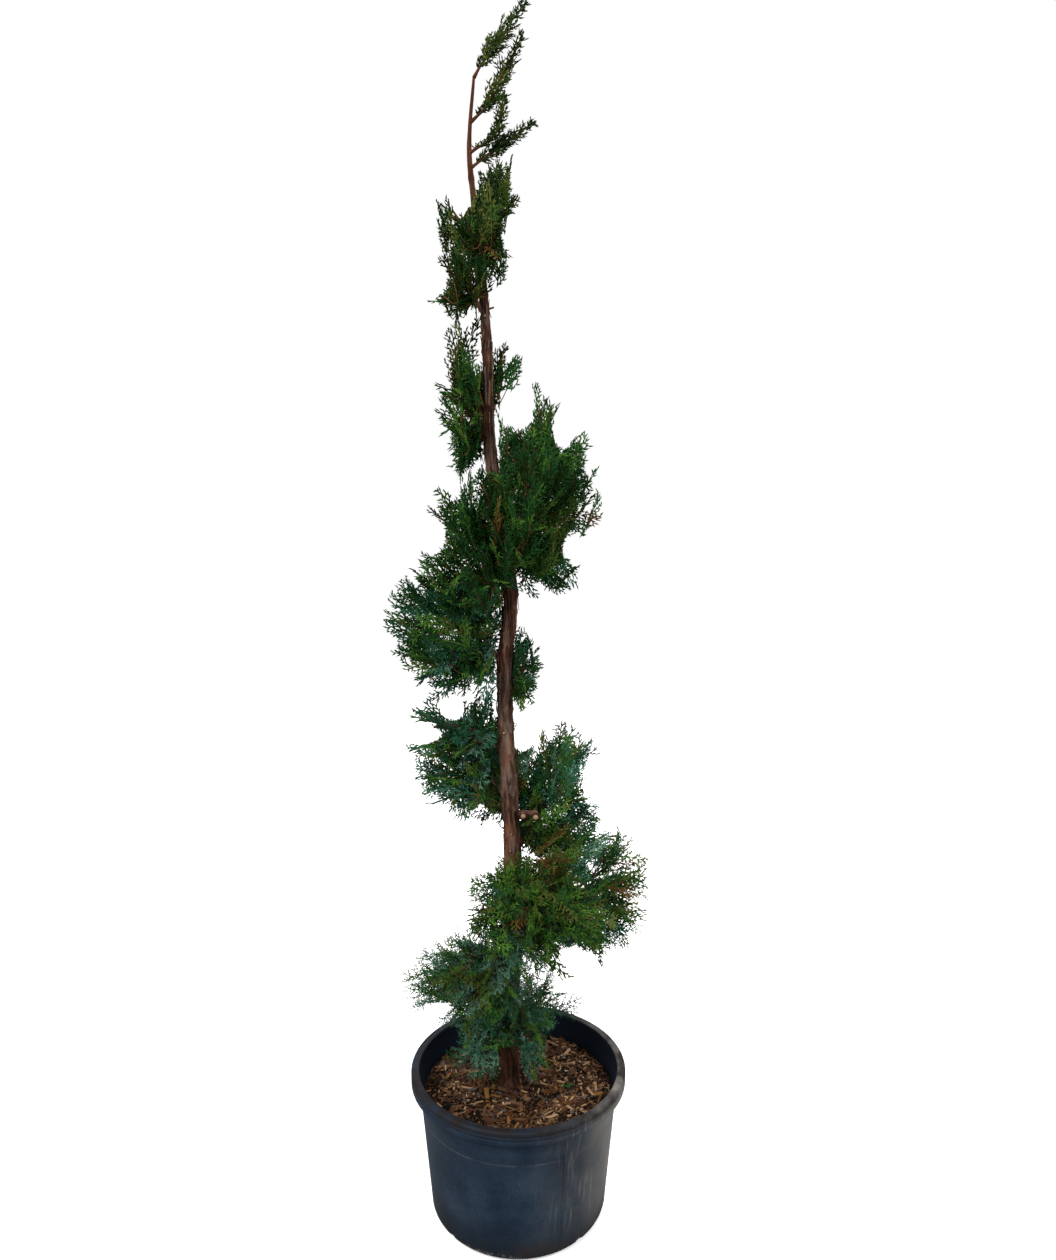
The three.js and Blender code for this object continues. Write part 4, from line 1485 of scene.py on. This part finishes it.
# %% A spray of scaly cords
def scale_spray(length, seed, longest_branch=48, branch_gap=8.2, cordlet_gap=4.6):
    """A spray of scaly cords along +X, in millimetres, as spindles (n, 4, 3)."""
    draws = np.random.default_rng(seed)
    cords = row_of_cords(np.zeros(3), spray_axis, length, 3.7, np.zeros(3))
    for i in range(int(length * 0.93 / branch_gap)):
        place = length * 0.05 + branch_gap * (i + draws.uniform(-0.2, 0.2))
        share = place / length
        tapering = (1 - 0.68 * share) * min(1, 0.5 + 2.5 * share)
        branch_length = min(longest_branch, 0.46 * length) * tapering * draws.uniform(0.8, 1.15)
        roll = (0 if i % 2 else math.pi) + draws.normal(0, 0.24)
        direction = turned_from(spray_axis, math.radians(draws.uniform(25, 36)), roll)
        root = max(place, 0) * spray_axis
        bend = 0.0035 * spray_axis - direction * 0.002 + draws.normal(0, 0.0006, 3)
        cords += row_of_cords(root, direction, branch_length, 3.5, bend, pitch=9)
        for j in range(int(branch_length / cordlet_gap)):
            along_branch = cordlet_gap * (j + 0.6 + draws.uniform(-0.2, 0.2))
            fork = root + direction * along_branch + bend * along_branch**2
            cordlet = draws.uniform(9, 17) * (1 - 0.4 * along_branch / branch_length)
            cord_roll = (0 if j % 2 else math.pi) + draws.normal(0, 0.32)
            heading = turned_from(direction, math.radians(draws.uniform(24, 40)), cord_roll)
            cords.append((fork, fork + heading * cordlet, 3.0))
    return spindles(*zip(*cords))


print("spindles in a scaly spray of 92 mm:", len(scale_spray(92, 1)))


# %% A spray of needles
def needle_spray(length, seed, longest_branch=46, branch_gap=9.5, needle_gap=2.5):
    """A spray of young foliage along +X: thin branchlets with sharp needles all round them."""
    draws = np.random.default_rng(seed)
    cords = row_of_cords(np.zeros(3), spray_axis, length, 2.0, np.zeros(3), pitch=14)

    def bristles(root, direction, reach, bend):
        for j in range(int(reach / needle_gap)):
            place = needle_gap * (j + 0.5)
            fork = root + direction * place + bend * place**2
            heading = turned_from(direction, math.radians(draws.uniform(32, 50)), j * golden_turn)
            needle = heading * draws.uniform(7, 11) * (1 - 0.3 * place / reach)
            cords.append((fork, fork + needle, 2.0))

    bristles(0.25 * length * spray_axis, spray_axis, length * 0.75, np.zeros(3))
    for i in range(int(length * 0.85 / branch_gap)):
        place = length * 0.08 + branch_gap * (i + draws.uniform(-0.2, 0.2))
        share = place / length
        branch_length = min(longest_branch, 0.48 * length) * (1 - 0.66 * share) * draws.uniform(0.75, 1.1)
        roll = (0 if i % 2 else math.pi) + draws.normal(0, 0.25)
        direction = turned_from(spray_axis, math.radians(draws.uniform(30, 44)), roll)
        bend = 0.003 * spray_axis - direction * 0.002
        root = place * spray_axis
        cords.extend(row_of_cords(root, direction, branch_length, 1.9, bend, pitch=14))
        bristles(root + direction * 2, direction, branch_length, bend)
    return spindles(*zip(*cords), widest=0.3)


print("spindles in a needle spray of 92 mm:", len(needle_spray(92, 1)))


# %% The ready sprays
def carriers_of(spray):
    """For each cord of a spray, the number of the earlier cord that it grows from."""
    roots, reaches = spray[:, 0], spray[:, 3] - spray[:, 0]
    carriers = [0]
    for cord in range(1, len(spray)):
        offsets = roots[cord] - roots[:cord]
        shares = np.sum(offsets * reaches[:cord], axis=1) / np.sum(reaches[:cord] ** 2, axis=1)
        nearest = reaches[:cord] * np.clip(shares, 0, 1)[:, None]
        carriers.append(int(np.argmin(np.linalg.norm(offsets - nearest, axis=1))))
    return carriers


def ready_sprays(build, seed, count):
    """Sprays of each length with what carries each of their cords."""
    sprays = {length: [build(length, seed * length + i) for i in range(count)] for length in spray_lengths}
    return {length: [(spray, carriers_of(spray)) for spray in kinds] for length, kinds in sprays.items()}


spray_lengths = (48, 68, 92, 125)
scale_sprays = ready_sprays(scale_spray, 100, 6)
needle_sprays = ready_sprays(needle_spray, 900, 4)
print("ready sprays of 92 mm:", len(scale_sprays[92]), "scaly,", len(needle_sprays[92]), "with needles")

# %% [markdown]
# ## Dealing out the sprays
# Sprays are carried by twigs, and twigs by the stem of their mass, so that nothing floats. The
# long twigs of the plan run out to the mass's edge first. Then the clipped surface is parted into
# patches of equal size, and each patch gets the tip of one more spray, which points outwards and
# the way that its mass climbs. Its root is joined to the nearest long twig by a twiglet. That is
# how shears shape a real plant: they stop every shoot near one surface, where the light is, and
# leave the inside to bare twigs. New growth since the last clipping differs from place to place,
# so slow noise over the surface says where tips stand proud. Last come the long shoots that have
# outgrown the shears, which give the outline its character: each is named with the place of its tip.

# %% Where the sprays go
patch_width = 27.0  # millimetres between the tips of neighbouring sprays on a tiny mass
patch_widening = 0.083  # added to it for each millimetre of the mass's longest half
outermost = 1.13  # how far cords may stand proud of a mass's oval, as a share
outermost_leading = 1.25
interlock = -10  # millimetres that cords may reach over a border between two masses
least_kept = 0.45  # a spray that keeps a smaller share of its cords is left out
sparse_masses = {"skirt_foliage_2": 0.7, "skirt_foliage_3": 0.4}  # the share of patches with a spray
beyond_box = 6  # millimetres that a tip may stand outside the frame's box
longest_shoot = 165
long_shoots = {  # where the tips of a mass's long shoots stand
    "spiral_foliage_19": [(-14, 6, 2030), (-58, 6, 2006)],
    "spiral_foliage_16": [(-70, 12, 1748), (-84, -6, 1768), (-96, 16, 1738), (-108, 0, 1712)],
    "spiral_foliage_13": [(26, -4, 1256)],
    "side_foliage_1": [(8, -14, 1040), (26, 6, 1048)],
    "spiral_foliage_10": [(-62, -8, 1070), (-90, 14, 1064), (-50, 20, 1090)],
    "spiral_foliage_09": [(-58, -24, 1092), (-84, -10, 1086), (-46, 22, 1068)],
    "spiral_foliage_07": [(-40, 36, 796)],
    "spiral_foliage_06": [(46, 30, 990), (158, 24, 812)],
    "spiral_foliage_05": [(182, 4, 800), (240, 4, 600), (222, -22, 574), (160, -16, 524)],
    "spiral_foliage_01": [(-216, -20, 452), (-204, -14, 424), (-190, 12, 438)],
    "skirt_foliage_4": [(-152, 20, 420)],
    "skirt_foliage_3": [(118, -10, 430), (92, -22, 452), (134, 0, 446)],
    "skirt_foliage_1": [(-138, -34, 342), (-112, -56, 330), (-84, -78, 318)],
}
twig_spray_length = 115  # millimetres at the end of a long twig that carry its spray
surface_spray_lengths = (70, 118)
deepest_root = 0.92  # a spray whose root lies further out in the oval starts at the stem instead
tip_clearance = -4  # millimetres: tips on the surface may cross a border a little
least_room = 0.4
shears_play = 0.09  # how unevenly the shears cut, as a share of the oval
print("long shoots:", sum(len(tips) for tips in long_shoots.values()))


# %% Patches of the clipped surface
def facings_of(mass):
    """Evenly spread directions over a mass's oval, one to each patch of its surface."""
    a, b, c = mass["sizes"]
    surface = 4 * math.pi * (((a * b) ** 1.6 + (a * c) ** 1.6 + (b * c) ** 1.6) / 3) ** (1 / 1.6)
    count = round(surface / (patch_width + patch_widening * a) ** 2)
    forward = 1 - 2 * (np.arange(count) + 0.5) / count
    turn = np.arange(count) * golden_turn
    ring = np.sqrt(1 - forward**2)
    return np.stack([forward, ring * np.cos(turn), ring * np.sin(turn)], axis=-1)


print("patches on the largest mass:", max(len(facings_of(mass)) for mass in masses))


# %% Sprays of the long twigs
def long_sprays(mass):
    """A spray along each long twig: its root, direction, roll and length in millimetres."""
    sprays = []
    for root, tip, roll in mass["twigs"][1 if mass["leading"] else 0:]:
        length = np.linalg.norm(tip - root)
        direction = (tip - root) / length
        start = 0.05 if mass["leading"] else max(0.1, 1 - twig_spray_length / length)
        sprays.append((root + direction * length * start, direction, roll, length * (1.03 - start)))
    return sprays


print("sprays on the long twigs:", sum(len(long_sprays(mass)) for mass in masses))


# %% Sprays of the clipped surface
def growth_at(mass, facing):
    """How far new growth reaches at a place on the surface, as a share of the oval."""
    place = Vector(facing * 1.9) + Vector((mass["seed"] * 3.7, 1.5, 0))
    shaded = max(0.0, -facing[2]) * (0.08 + 0.2 * max(0.0, mass["lean"][2]))
    return 0.97 - shaded + 0.4 * noise.noise(place)


def nearest_of(points, place):
    return points[np.argmin(np.linalg.norm(points - place, axis=1))]


def surface_sprays(mass, draws):
    """A spray for each patch of the clipped surface."""
    lean = mass["lean"] @ mass["axes"]
    climb = max(0.0, lean[2])
    looseness = np.interp(mass["centre"][2], (700, 1300), (0.34, 0.18))
    uplift = np.interp(mass["centre"][2], (500, 900), (-0.05, 0.15))
    stem = along(mass["line"], np.linspace(0.3, 1, 15))
    sprays = []
    for facing in facings_of(mass):
        if draws.random() > sparse_masses.get(mass["name"], 1):
            continue
        room = room_for(mass, lambda share: in_oval(mass, facing, share), tip_clearance, least_room, 0.06)
        if room <= least_room:
            continue
        growth = growth_at(mass, facing) + draws.uniform(-shears_play, shears_play)
        tip = in_oval(mass, facing, room * min(1.1, growth))
        outward = unit(tip - mass["centre"]) * np.array([1, 1, 0.75])
        direction = outward * (0.7 - 0.35 * climb) + lean * 0.35 + [0, 0, uplift + 0.9 * climb]
        direction = unit(direction + draws.normal(0, looseness, 3))
        length = draws.uniform(*surface_spray_lengths)
        length = min(length, 32 + 0.68 * np.linalg.norm(tip - mass["centre"]))
        root = tip - direction * length
        if depth_in(mass, root - mass["centre"]) > deepest_root:
            base = nearest_of(stem, root)
            direction = unit(tip - base)
            length = min(length, np.linalg.norm(tip - base))
        sprays.append((tip - direction * length, direction, draws.uniform(0, math.pi), length))
    return sprays


print("new growth at one place:", round(growth_at(masses[0], spray_axis), 2), "of the oval")


# %% Long shoots
def shoots_beyond(mass, draws):
    """The long shoots of a mass, each from the nearest place on its stem."""
    stem = along(mass["line"], np.linspace(0.35, 1, 14))
    sprays = []
    for tip in np.array(long_shoots.get(mass["name"], []), float):
        base = nearest_of(stem, tip)
        length = min(longest_shoot, np.linalg.norm(tip - base))
        direction = unit(tip - base)
        sprays.append((tip - direction * length, direction, draws.uniform(0, math.pi), length))
    return sprays


print("masses with long shoots:", len(long_shoots))


# %% A spray in its place
def near_frame(points):
    """Which points lie in the frame's box, or only just outside it."""
    low, high = (np.array(corner) / MM for corner in frame_box)
    return ((points > low - beyond_box) & (points < high + beyond_box)).all(axis=-1)


def placed_spray(spray, nominal, place, curl):
    """A spray turned, scaled and bent into its place. The curl is two numbers, one per side."""
    root, direction, roll, length = place
    side = turned_from(direction, math.pi / 2, roll)
    over = np.cross(direction, side)
    scale = length / nominal
    bent = spray * np.array([scale, math.sqrt(scale), math.sqrt(scale)])
    bent[..., 1] += curl[0] * bent[..., 0] ** 2
    bent[..., 2] += curl[1] * bent[..., 0] ** 2
    return root + bent @ np.stack([direction, side, over])


def dealt_spray(kinds, place, draws):
    """One of the ready sprays of the nearest length, in its place, and its carriers."""
    nearest = min(kinds, key=lambda nominal: abs(nominal - place[3]))
    spray, carriers = kinds[nearest][draws.integers(len(kinds[nearest]))]
    return placed_spray(spray, nearest, place, draws.normal(0, 0.0011, 2)), carriers


print("a spray may reach up to", round(frame_box[1][2] / MM + beyond_box), "mm")

# %% [markdown]
# ## Colours of the foliage
# The greens differ most from spray to spray, so each spray takes one of a few plain colours, and
# a few of its branchlets take the next darker or lighter one. Which colours there are depends on
# the turn of the ribbon: blue-green needles at the foot, with a silver green that is partly a
# painted sheen, an olive tinge where the sun has yellowed the low front, cooler deep greens on the
# middle turns and the darkest at the top. Half of the sprays deep inside a mass take a dark green
# as painted shade, and a few are bronze.

# %% Leaf colours
leaf_greens = {
    "dusky_green": (0.007, 0.017, 0.002),
    "moss_green": (0.018, 0.036, 0.004),
    "deep_green": (0.006, 0.029, 0.006),
    "mid_green": (0.012, 0.050, 0.010),
    "fresh_green": (0.040, 0.100, 0.012),
    "olive_green": (0.055, 0.070, 0.014),
    "sea_green": (0.010, 0.052, 0.025),
    "blue_green": (0.033, 0.092, 0.060),
    # Silver green: partly the pale bloom of young needles, partly a painted sheen of whitish highlights.
    "silver_green_sheen": (0.068, 0.135, 0.094),
    "bronze": (0.085, 0.045, 0.012),
}
leaf_materials = [plain_material(name, colour, 0.75) for name, colour in leaf_greens.items()]
leaf_numbers = {name: number for number, name in enumerate(leaf_greens)}
print("leaf colours:", ", ".join(leaf_greens))

# %% Which colours grow where
colour_bands = [  # up to a height in millimetres: the weight of each colour
    # In the two lowest bands, silver green is partly a painted sheen.
    (430, {"blue_green": 42, "silver_green_sheen": 12, "sea_green": 24, "fresh_green": 22}),
    (620, {"blue_green": 34, "silver_green_sheen": 10, "fresh_green": 20, "mid_green": 20, "olive_green": 16}),
    (760, {"olive_green": 26, "fresh_green": 26, "blue_green": 22, "mid_green": 20, "bronze": 6}),
    (1000, {"blue_green": 36, "mid_green": 18, "sea_green": 16, "fresh_green": 16, "olive_green": 14}),
    (1300, {"sea_green": 38, "mid_green": 32, "deep_green": 16, "fresh_green": 11, "blue_green": 3}),
    (1700, {"mid_green": 44, "deep_green": 34, "moss_green": 8, "fresh_green": 11, "bronze": 3}),
    (2020, {"dusky_green": 46, "moss_green": 26, "deep_green": 18, "olive_green": 7, "bronze": 3}),
    (2400, {"dusky_green": 62, "moss_green": 38}),
]
sun_place, sun_reach = (45, 770), (95, 150)  # the yellowed front: x and height in millimetres
sunned = {"olive_green": 34, "fresh_green": 34, "mid_green": 24, "bronze": 8}
neighbouring_greens = {  # a darker and a lighter branchlet of the same spray
    "dusky_green": ("dusky_green", "moss_green"), "moss_green": ("dusky_green", "olive_green"),
    "deep_green": ("dusky_green", "mid_green"), "mid_green": ("deep_green", "fresh_green"),
    "fresh_green": ("mid_green", "olive_green"),
    "olive_green": ("mid_green", "fresh_green"), "sea_green": ("deep_green", "blue_green"),
    "blue_green": ("sea_green", "silver_green_sheen"), "silver_green_sheen": ("blue_green", "silver_green_sheen"),
    "bronze": ("olive_green", "bronze"),
}
cords_alike = 12  # about one branchlet
own_and_neighbours = (0.6, 0.2, 0.2)  # the shares of branchlets with each of the three colours
print("colour bands:", len(colour_bands))


# %% The colour of a spray
def spray_colour(tip, outer, draws):
    """A spray's colour. The low front is sunned. Inside a mass half of the sprays take a dark green as
    painted shade, only a quarter on the sunned front.
    """
    in_sun = np.hypot(*(tip[[0, 2]] - sun_place) / sun_reach) < 1 and tip[1] < 60
    # Painted shade: a spray inside its mass may take a dark green instead of its band's colours.
    if not outer and draws.random() < (0.25 if in_sun else 0.5):
        return "deep_green" if tip[2] > 1000 else "sea_green"
    weights = sunned if in_sun else next(weights for top, weights in colour_bands if tip[2] < top)
    names = list(weights)
    shares = np.array([weights[name] for name in names], float)
    return names[draws.choice(len(names), p=shares / shares.sum())]


def branchlet_colours(name, count, draws):
    """A colour number for each cord of a spray: most branchlets have the spray's own."""
    options = np.array([leaf_numbers[each] for each in (name, *neighbouring_greens[name])])
    runs = draws.choice(3, size=count // cords_alike + 1, p=own_and_neighbours)
    return options[np.repeat(runs, cords_alike)[:count]]


print("beside olive green:", neighbouring_greens["olive_green"])

# %% [markdown]
# ## Growing the foliage
# Low down, juniper keeps its young needles. Higher up it wears the scaly cords of grown wood, and
# one turn of the ribbon has both. A cord that strays over a border is dropped, and a spray that
# would lose most of its cords is not grown at all. The leading shoots were never clipped: each is
# a long slim plume of three sprays through each other, and its own sprays only thicken its foot.

# %% Where needles and plumes grow
juvenile_below = 560  # millimetres: masses centred lower carry only needles
mixed_below = 700
young_share = 0.35  # of the sprays on the mixed turn
bare_foot = 0.04  # the share of a leading shoot that carries no cords
plume_rolls = (0.4, 1.4, 2.5)
print("masses with needles only:", sum(bool(mass["centre"][2] < juvenile_below) for mass in masses))


# %% Plumes of the leading shoots
def leading_plumes(mass):
    """Three long slim sprays through each other, bent along the line of a leading shoot."""
    line = smooth_line([mass["line"][0], mass["elbow"], mass["tip"]])
    reach = np.linalg.norm(np.diff(line, axis=0), axis=1).sum()
    plumes = []
    for i, roll in enumerate(plume_rolls):
        spray = scale_spray(reach, mass["seed"] + 300 + i, longest_branch=34, branch_gap=7.0, cordlet_gap=5.0)
        places = along(line, np.clip(bare_foot + (1 - bare_foot) * spray[..., 0] / reach, 0, 1))
        turn = np.array([[math.cos(roll), math.sin(roll)], [-math.sin(roll), math.cos(roll)]])
        plumes.append(places + spray[..., 1:] @ turn @ mass["axes"][1:])
    return plumes


def still_carried(kept, carriers):
    """The kept cords without those that grow from a cord that was dropped."""
    for cord, carrier in enumerate(carriers):
        kept[cord] &= kept[carrier]
    return kept


print("cords in a leading shoot's plumes:", sum(len(plume) for plume in leading_plumes(masses[-1])))


# %% Growing each mass
def grow(mass):
    """Fills in a mass's sprays, and its cords (n, 4, 3) with a colour number for each."""
    draws = np.random.default_rng(mass["seed"] + 7000)
    proud = outermost_leading if mass["leading"] else outermost
    height = mass["centre"][2]
    on_twigs = long_sprays(mass)
    on_surface = [] if mass["leading"] else surface_sprays(mass, draws)
    beyond = shoots_beyond(mass, draws)
    mass["on_twiglets"], mass["cords"], mass["colours"] = [], [], []
    for number, place in enumerate(on_twigs + on_surface + beyond):
        young = height < juvenile_below or (height < mixed_below and draws.random() < young_share)
        spray, carriers = dealt_spray(needle_sprays if young else scale_sprays, place, draws)
        tips = spray[:, 3]
        kept = near_frame(tips)
        clipped = number < len(on_twigs) + len(on_surface)
        if clipped:
            kept &= clear_of_front(tips) & (depth_in(mass, tips - mass["centre"]) <= proud)
        kept = still_carried(kept, carriers)
        if clipped:
            kept &= in_own_space(mass, tips, interlock, proud)
        if kept.sum() < least_kept * len(spray):
            continue
        tip = place[0] + place[1] * place[3]
        # Sprays that end deeper than this may take the painted shade of spray_colour.
        outer = depth_in(mass, tip - mass["centre"]) > 0.8
        mass["cords"].append(spray[kept])
        mass["colours"].append(branchlet_colours(spray_colour(tip, outer, draws), len(spray), draws)[kept])
        if number >= len(on_twigs):
            mass["on_twiglets"].append(place)
    if mass["leading"]:
        for plume in leading_plumes(mass):
            colour = spray_colour(mass["tip"], True, draws)
            mass["cords"].append(plume)
            mass["colours"].append(branchlet_colours(colour, len(plume), draws))
    mass["spray_count"] = len(mass["cords"])
    mass["cords"], mass["colours"] = np.concatenate(mass["cords"]), np.concatenate(mass["colours"])


for mass in masses:
    grow(mass)
counts = [len(mass["cords"]) * len(spindle_faces) for mass in masses]
print("sprays:", sum(mass["spray_count"] for mass in masses), "triangles:", sum(counts), "most:", max(counts))

# %% Foliage pieces
most_triangles = 185000


def foliage_piece(name, chosen):
    """One piece of foliage for several masses. It stands for their solids."""
    cords = np.concatenate([mass["cords"] for mass in chosen])
    colours = np.concatenate([mass["colours"] for mass in chosen])
    piece = piece_of_copies(name, cords, spindle_faces, leaf_materials, colours)
    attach(piece, "root")
    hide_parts(*[mass["name"] for mass in chosen])
    return piece


def in_groups(ordered):
    """Masses in groups that stay under the most triangles of a piece."""
    groups = [[]]
    total = 0
    for mass in ordered:
        triangles = len(mass["cords"]) * len(spindle_faces)
        if total + triangles > most_triangles:
            groups.append([])
            total = 0
        groups[-1].append(mass)
        total += triangles
    return groups


by_height = sorted(masses, key=lambda mass: mass["centre"][2])
young_masses = [mass for mass in by_height if mass["centre"][2] < juvenile_below]
grown_masses = [mass for mass in by_height if mass["centre"][2] >= juvenile_below]
foliage = [
    foliage_piece(f"{kind}_foliage_{i + 1}", group)
    for kind, ordered in (("young", young_masses), ("grown", grown_masses))
    for i, group in enumerate(in_groups(ordered))
]
print("foliage pieces:", [(piece.name, triangles_of(piece)) for piece in foliage])

# %% [markdown]
# ## Twigs
# Between a mass's stem and its sprays run thin woody twigs, orange-brown where they are young.
# They show in the gaps and along the middle of the longest sprays. Each long twig follows a bent
# line from the stem, forwards and out, and stops where it would cross a gap of light. A twiglet
# leaves the nearest point of a long twig, or of the stem, and runs into the root of its spray.


# %% Twigs
young_wood_above = 1250
twig_radius, twig_taper = 1.6, 0.6
twiglet_radius, twiglet_taper = 1.15, 0.55


def twig_line(mass, root, tip):
    """A bent line from a mass's stem over the root of a long twig to near its tip."""
    shares = np.linspace(0, 1, 60)
    distances = np.linalg.norm(along(mass["line"], shares) - root, axis=1)
    start = along(mass["line"], [max(0.25, shares[np.argmin(distances)] - 0.12)])[0]
    reach = tip - root
    return smooth_line([start, root * 0.7 + start * 0.3, root + reach * 0.35, root + reach * 0.8], 6)


def twig_part(line, radius, taper, rings, sides, number):
    """A tapering twig along a line."""
    shares = np.linspace(0, 1, rings)
    return limb_part(along(line, shares), radius * (1 - taper * shares), sides, number)


def up_to_gap(line):
    """A line as far as the first gap that it would cross."""
    closing = in_light_gap(line)
    return line[: np.argmax(closing)] if closing.any() else line


def twiglet_line(wood, spray):
    """A bent line from the nearest older wood into a spray."""
    root, direction, _, length = spray
    start = nearest_of(wood, root - direction * 12)
    middle = start * 0.45 + root * 0.55 - direction * 3
    return smooth_line([start, middle, root, root + direction * length * 0.6], 4)


print("twiglets wanted:", sum(len(mass["on_twiglets"]) for mass in masses))


# %% Twigs in one mesh
twig_parts = []
for mass in masses:
    young_wood = int(mass["centre"][2] > young_wood_above)
    lines = [up_to_gap(twig_line(mass, root, tip)) for root, tip, _ in mass["twigs"]]
    lines = [line for line in lines if len(line) > 3]
    twig_parts += [twig_part(line, twig_radius, twig_taper, 7, 5, young_wood) for line in lines]
    wood = np.concatenate([along(line, np.linspace(0, 0.9, 9)) for line in [mass["line"], *lines]])
    for spray in mass["on_twiglets"]:
        line = twiglet_line(wood, spray)
        if in_own_space(mass, line, -12, 1.05).all() and not in_light_gap(line).any():
            twig_parts.append(twig_part(line, twiglet_radius, twiglet_taper, 5, 3, young_wood))
twig_materials = [
    plain_material("old_twig", (0.040, 0.022, 0.014), 0.85),
    plain_material("young_twig", (0.095, 0.038, 0.014), 0.8),
]
twigs = piece_of_parts("twigs", twig_parts, twig_materials)
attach(twigs, "root")
print("twigs:", triangles_of(twigs), "triangles")

# %% [markdown]
# ## Litter on the mix
# Clipped sprigs fall on the mix and dry to bronze. They are small copies of the ready sprays,
# laid flat, and make the bed look lived-in instead of freshly filled.

# %% Fallen sprigs
sprig_count, sprigs_rim, litter_rim = 64, 176, 186
sprig_lift = 4.5
sprig_size = np.array([0.6, 0.6, 0.3])
overhead = np.array([0, 0, 1.0])
litter_shares = (0.45, 0.3, 0.15, 0.1)
litter_draws = np.random.default_rng(5)
litter, numbers = [], []
for x, y in bed_places(sprig_count, sprigs_rim, litter_draws):
    angle = litter_draws.uniform(0, 2 * math.pi)
    root = np.array([x, y, bed_height(x * MM, y * MM) / MM + sprig_lift])
    direction = unit(np.array([math.cos(angle), math.sin(angle), litter_draws.uniform(-0.03, 0.08)]))
    sprig, _ = scale_sprays[48][litter_draws.integers(6)]
    sprig = root + sprig * sprig_size @ np.stack([direction, unit(np.cross(overhead, direction)), overhead])
    inside = np.hypot(sprig[:, 3, 0], sprig[:, 3, 1]) < litter_rim
    litter.append(sprig[inside])
    numbers.append(np.full(inside.sum(), litter_draws.choice(4, p=litter_shares)))
litter, numbers = np.concatenate(litter), np.concatenate(numbers)
litter_materials = [
    plain_material("dry_bronze", (0.075, 0.030, 0.010), 0.9),
    plain_material("dry_tan", (0.14, 0.08, 0.04), 0.9),
    plain_material("dry_dark", (0.016, 0.008, 0.005), 0.9), leaf_materials[leaf_numbers["mid_green"]],
]
fallen = piece_of_copies("fallen_sprigs", litter, spindle_faces, litter_materials, numbers)
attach(fallen, "root")
print("fallen sprigs:", triangles_of(fallen), "triangles")
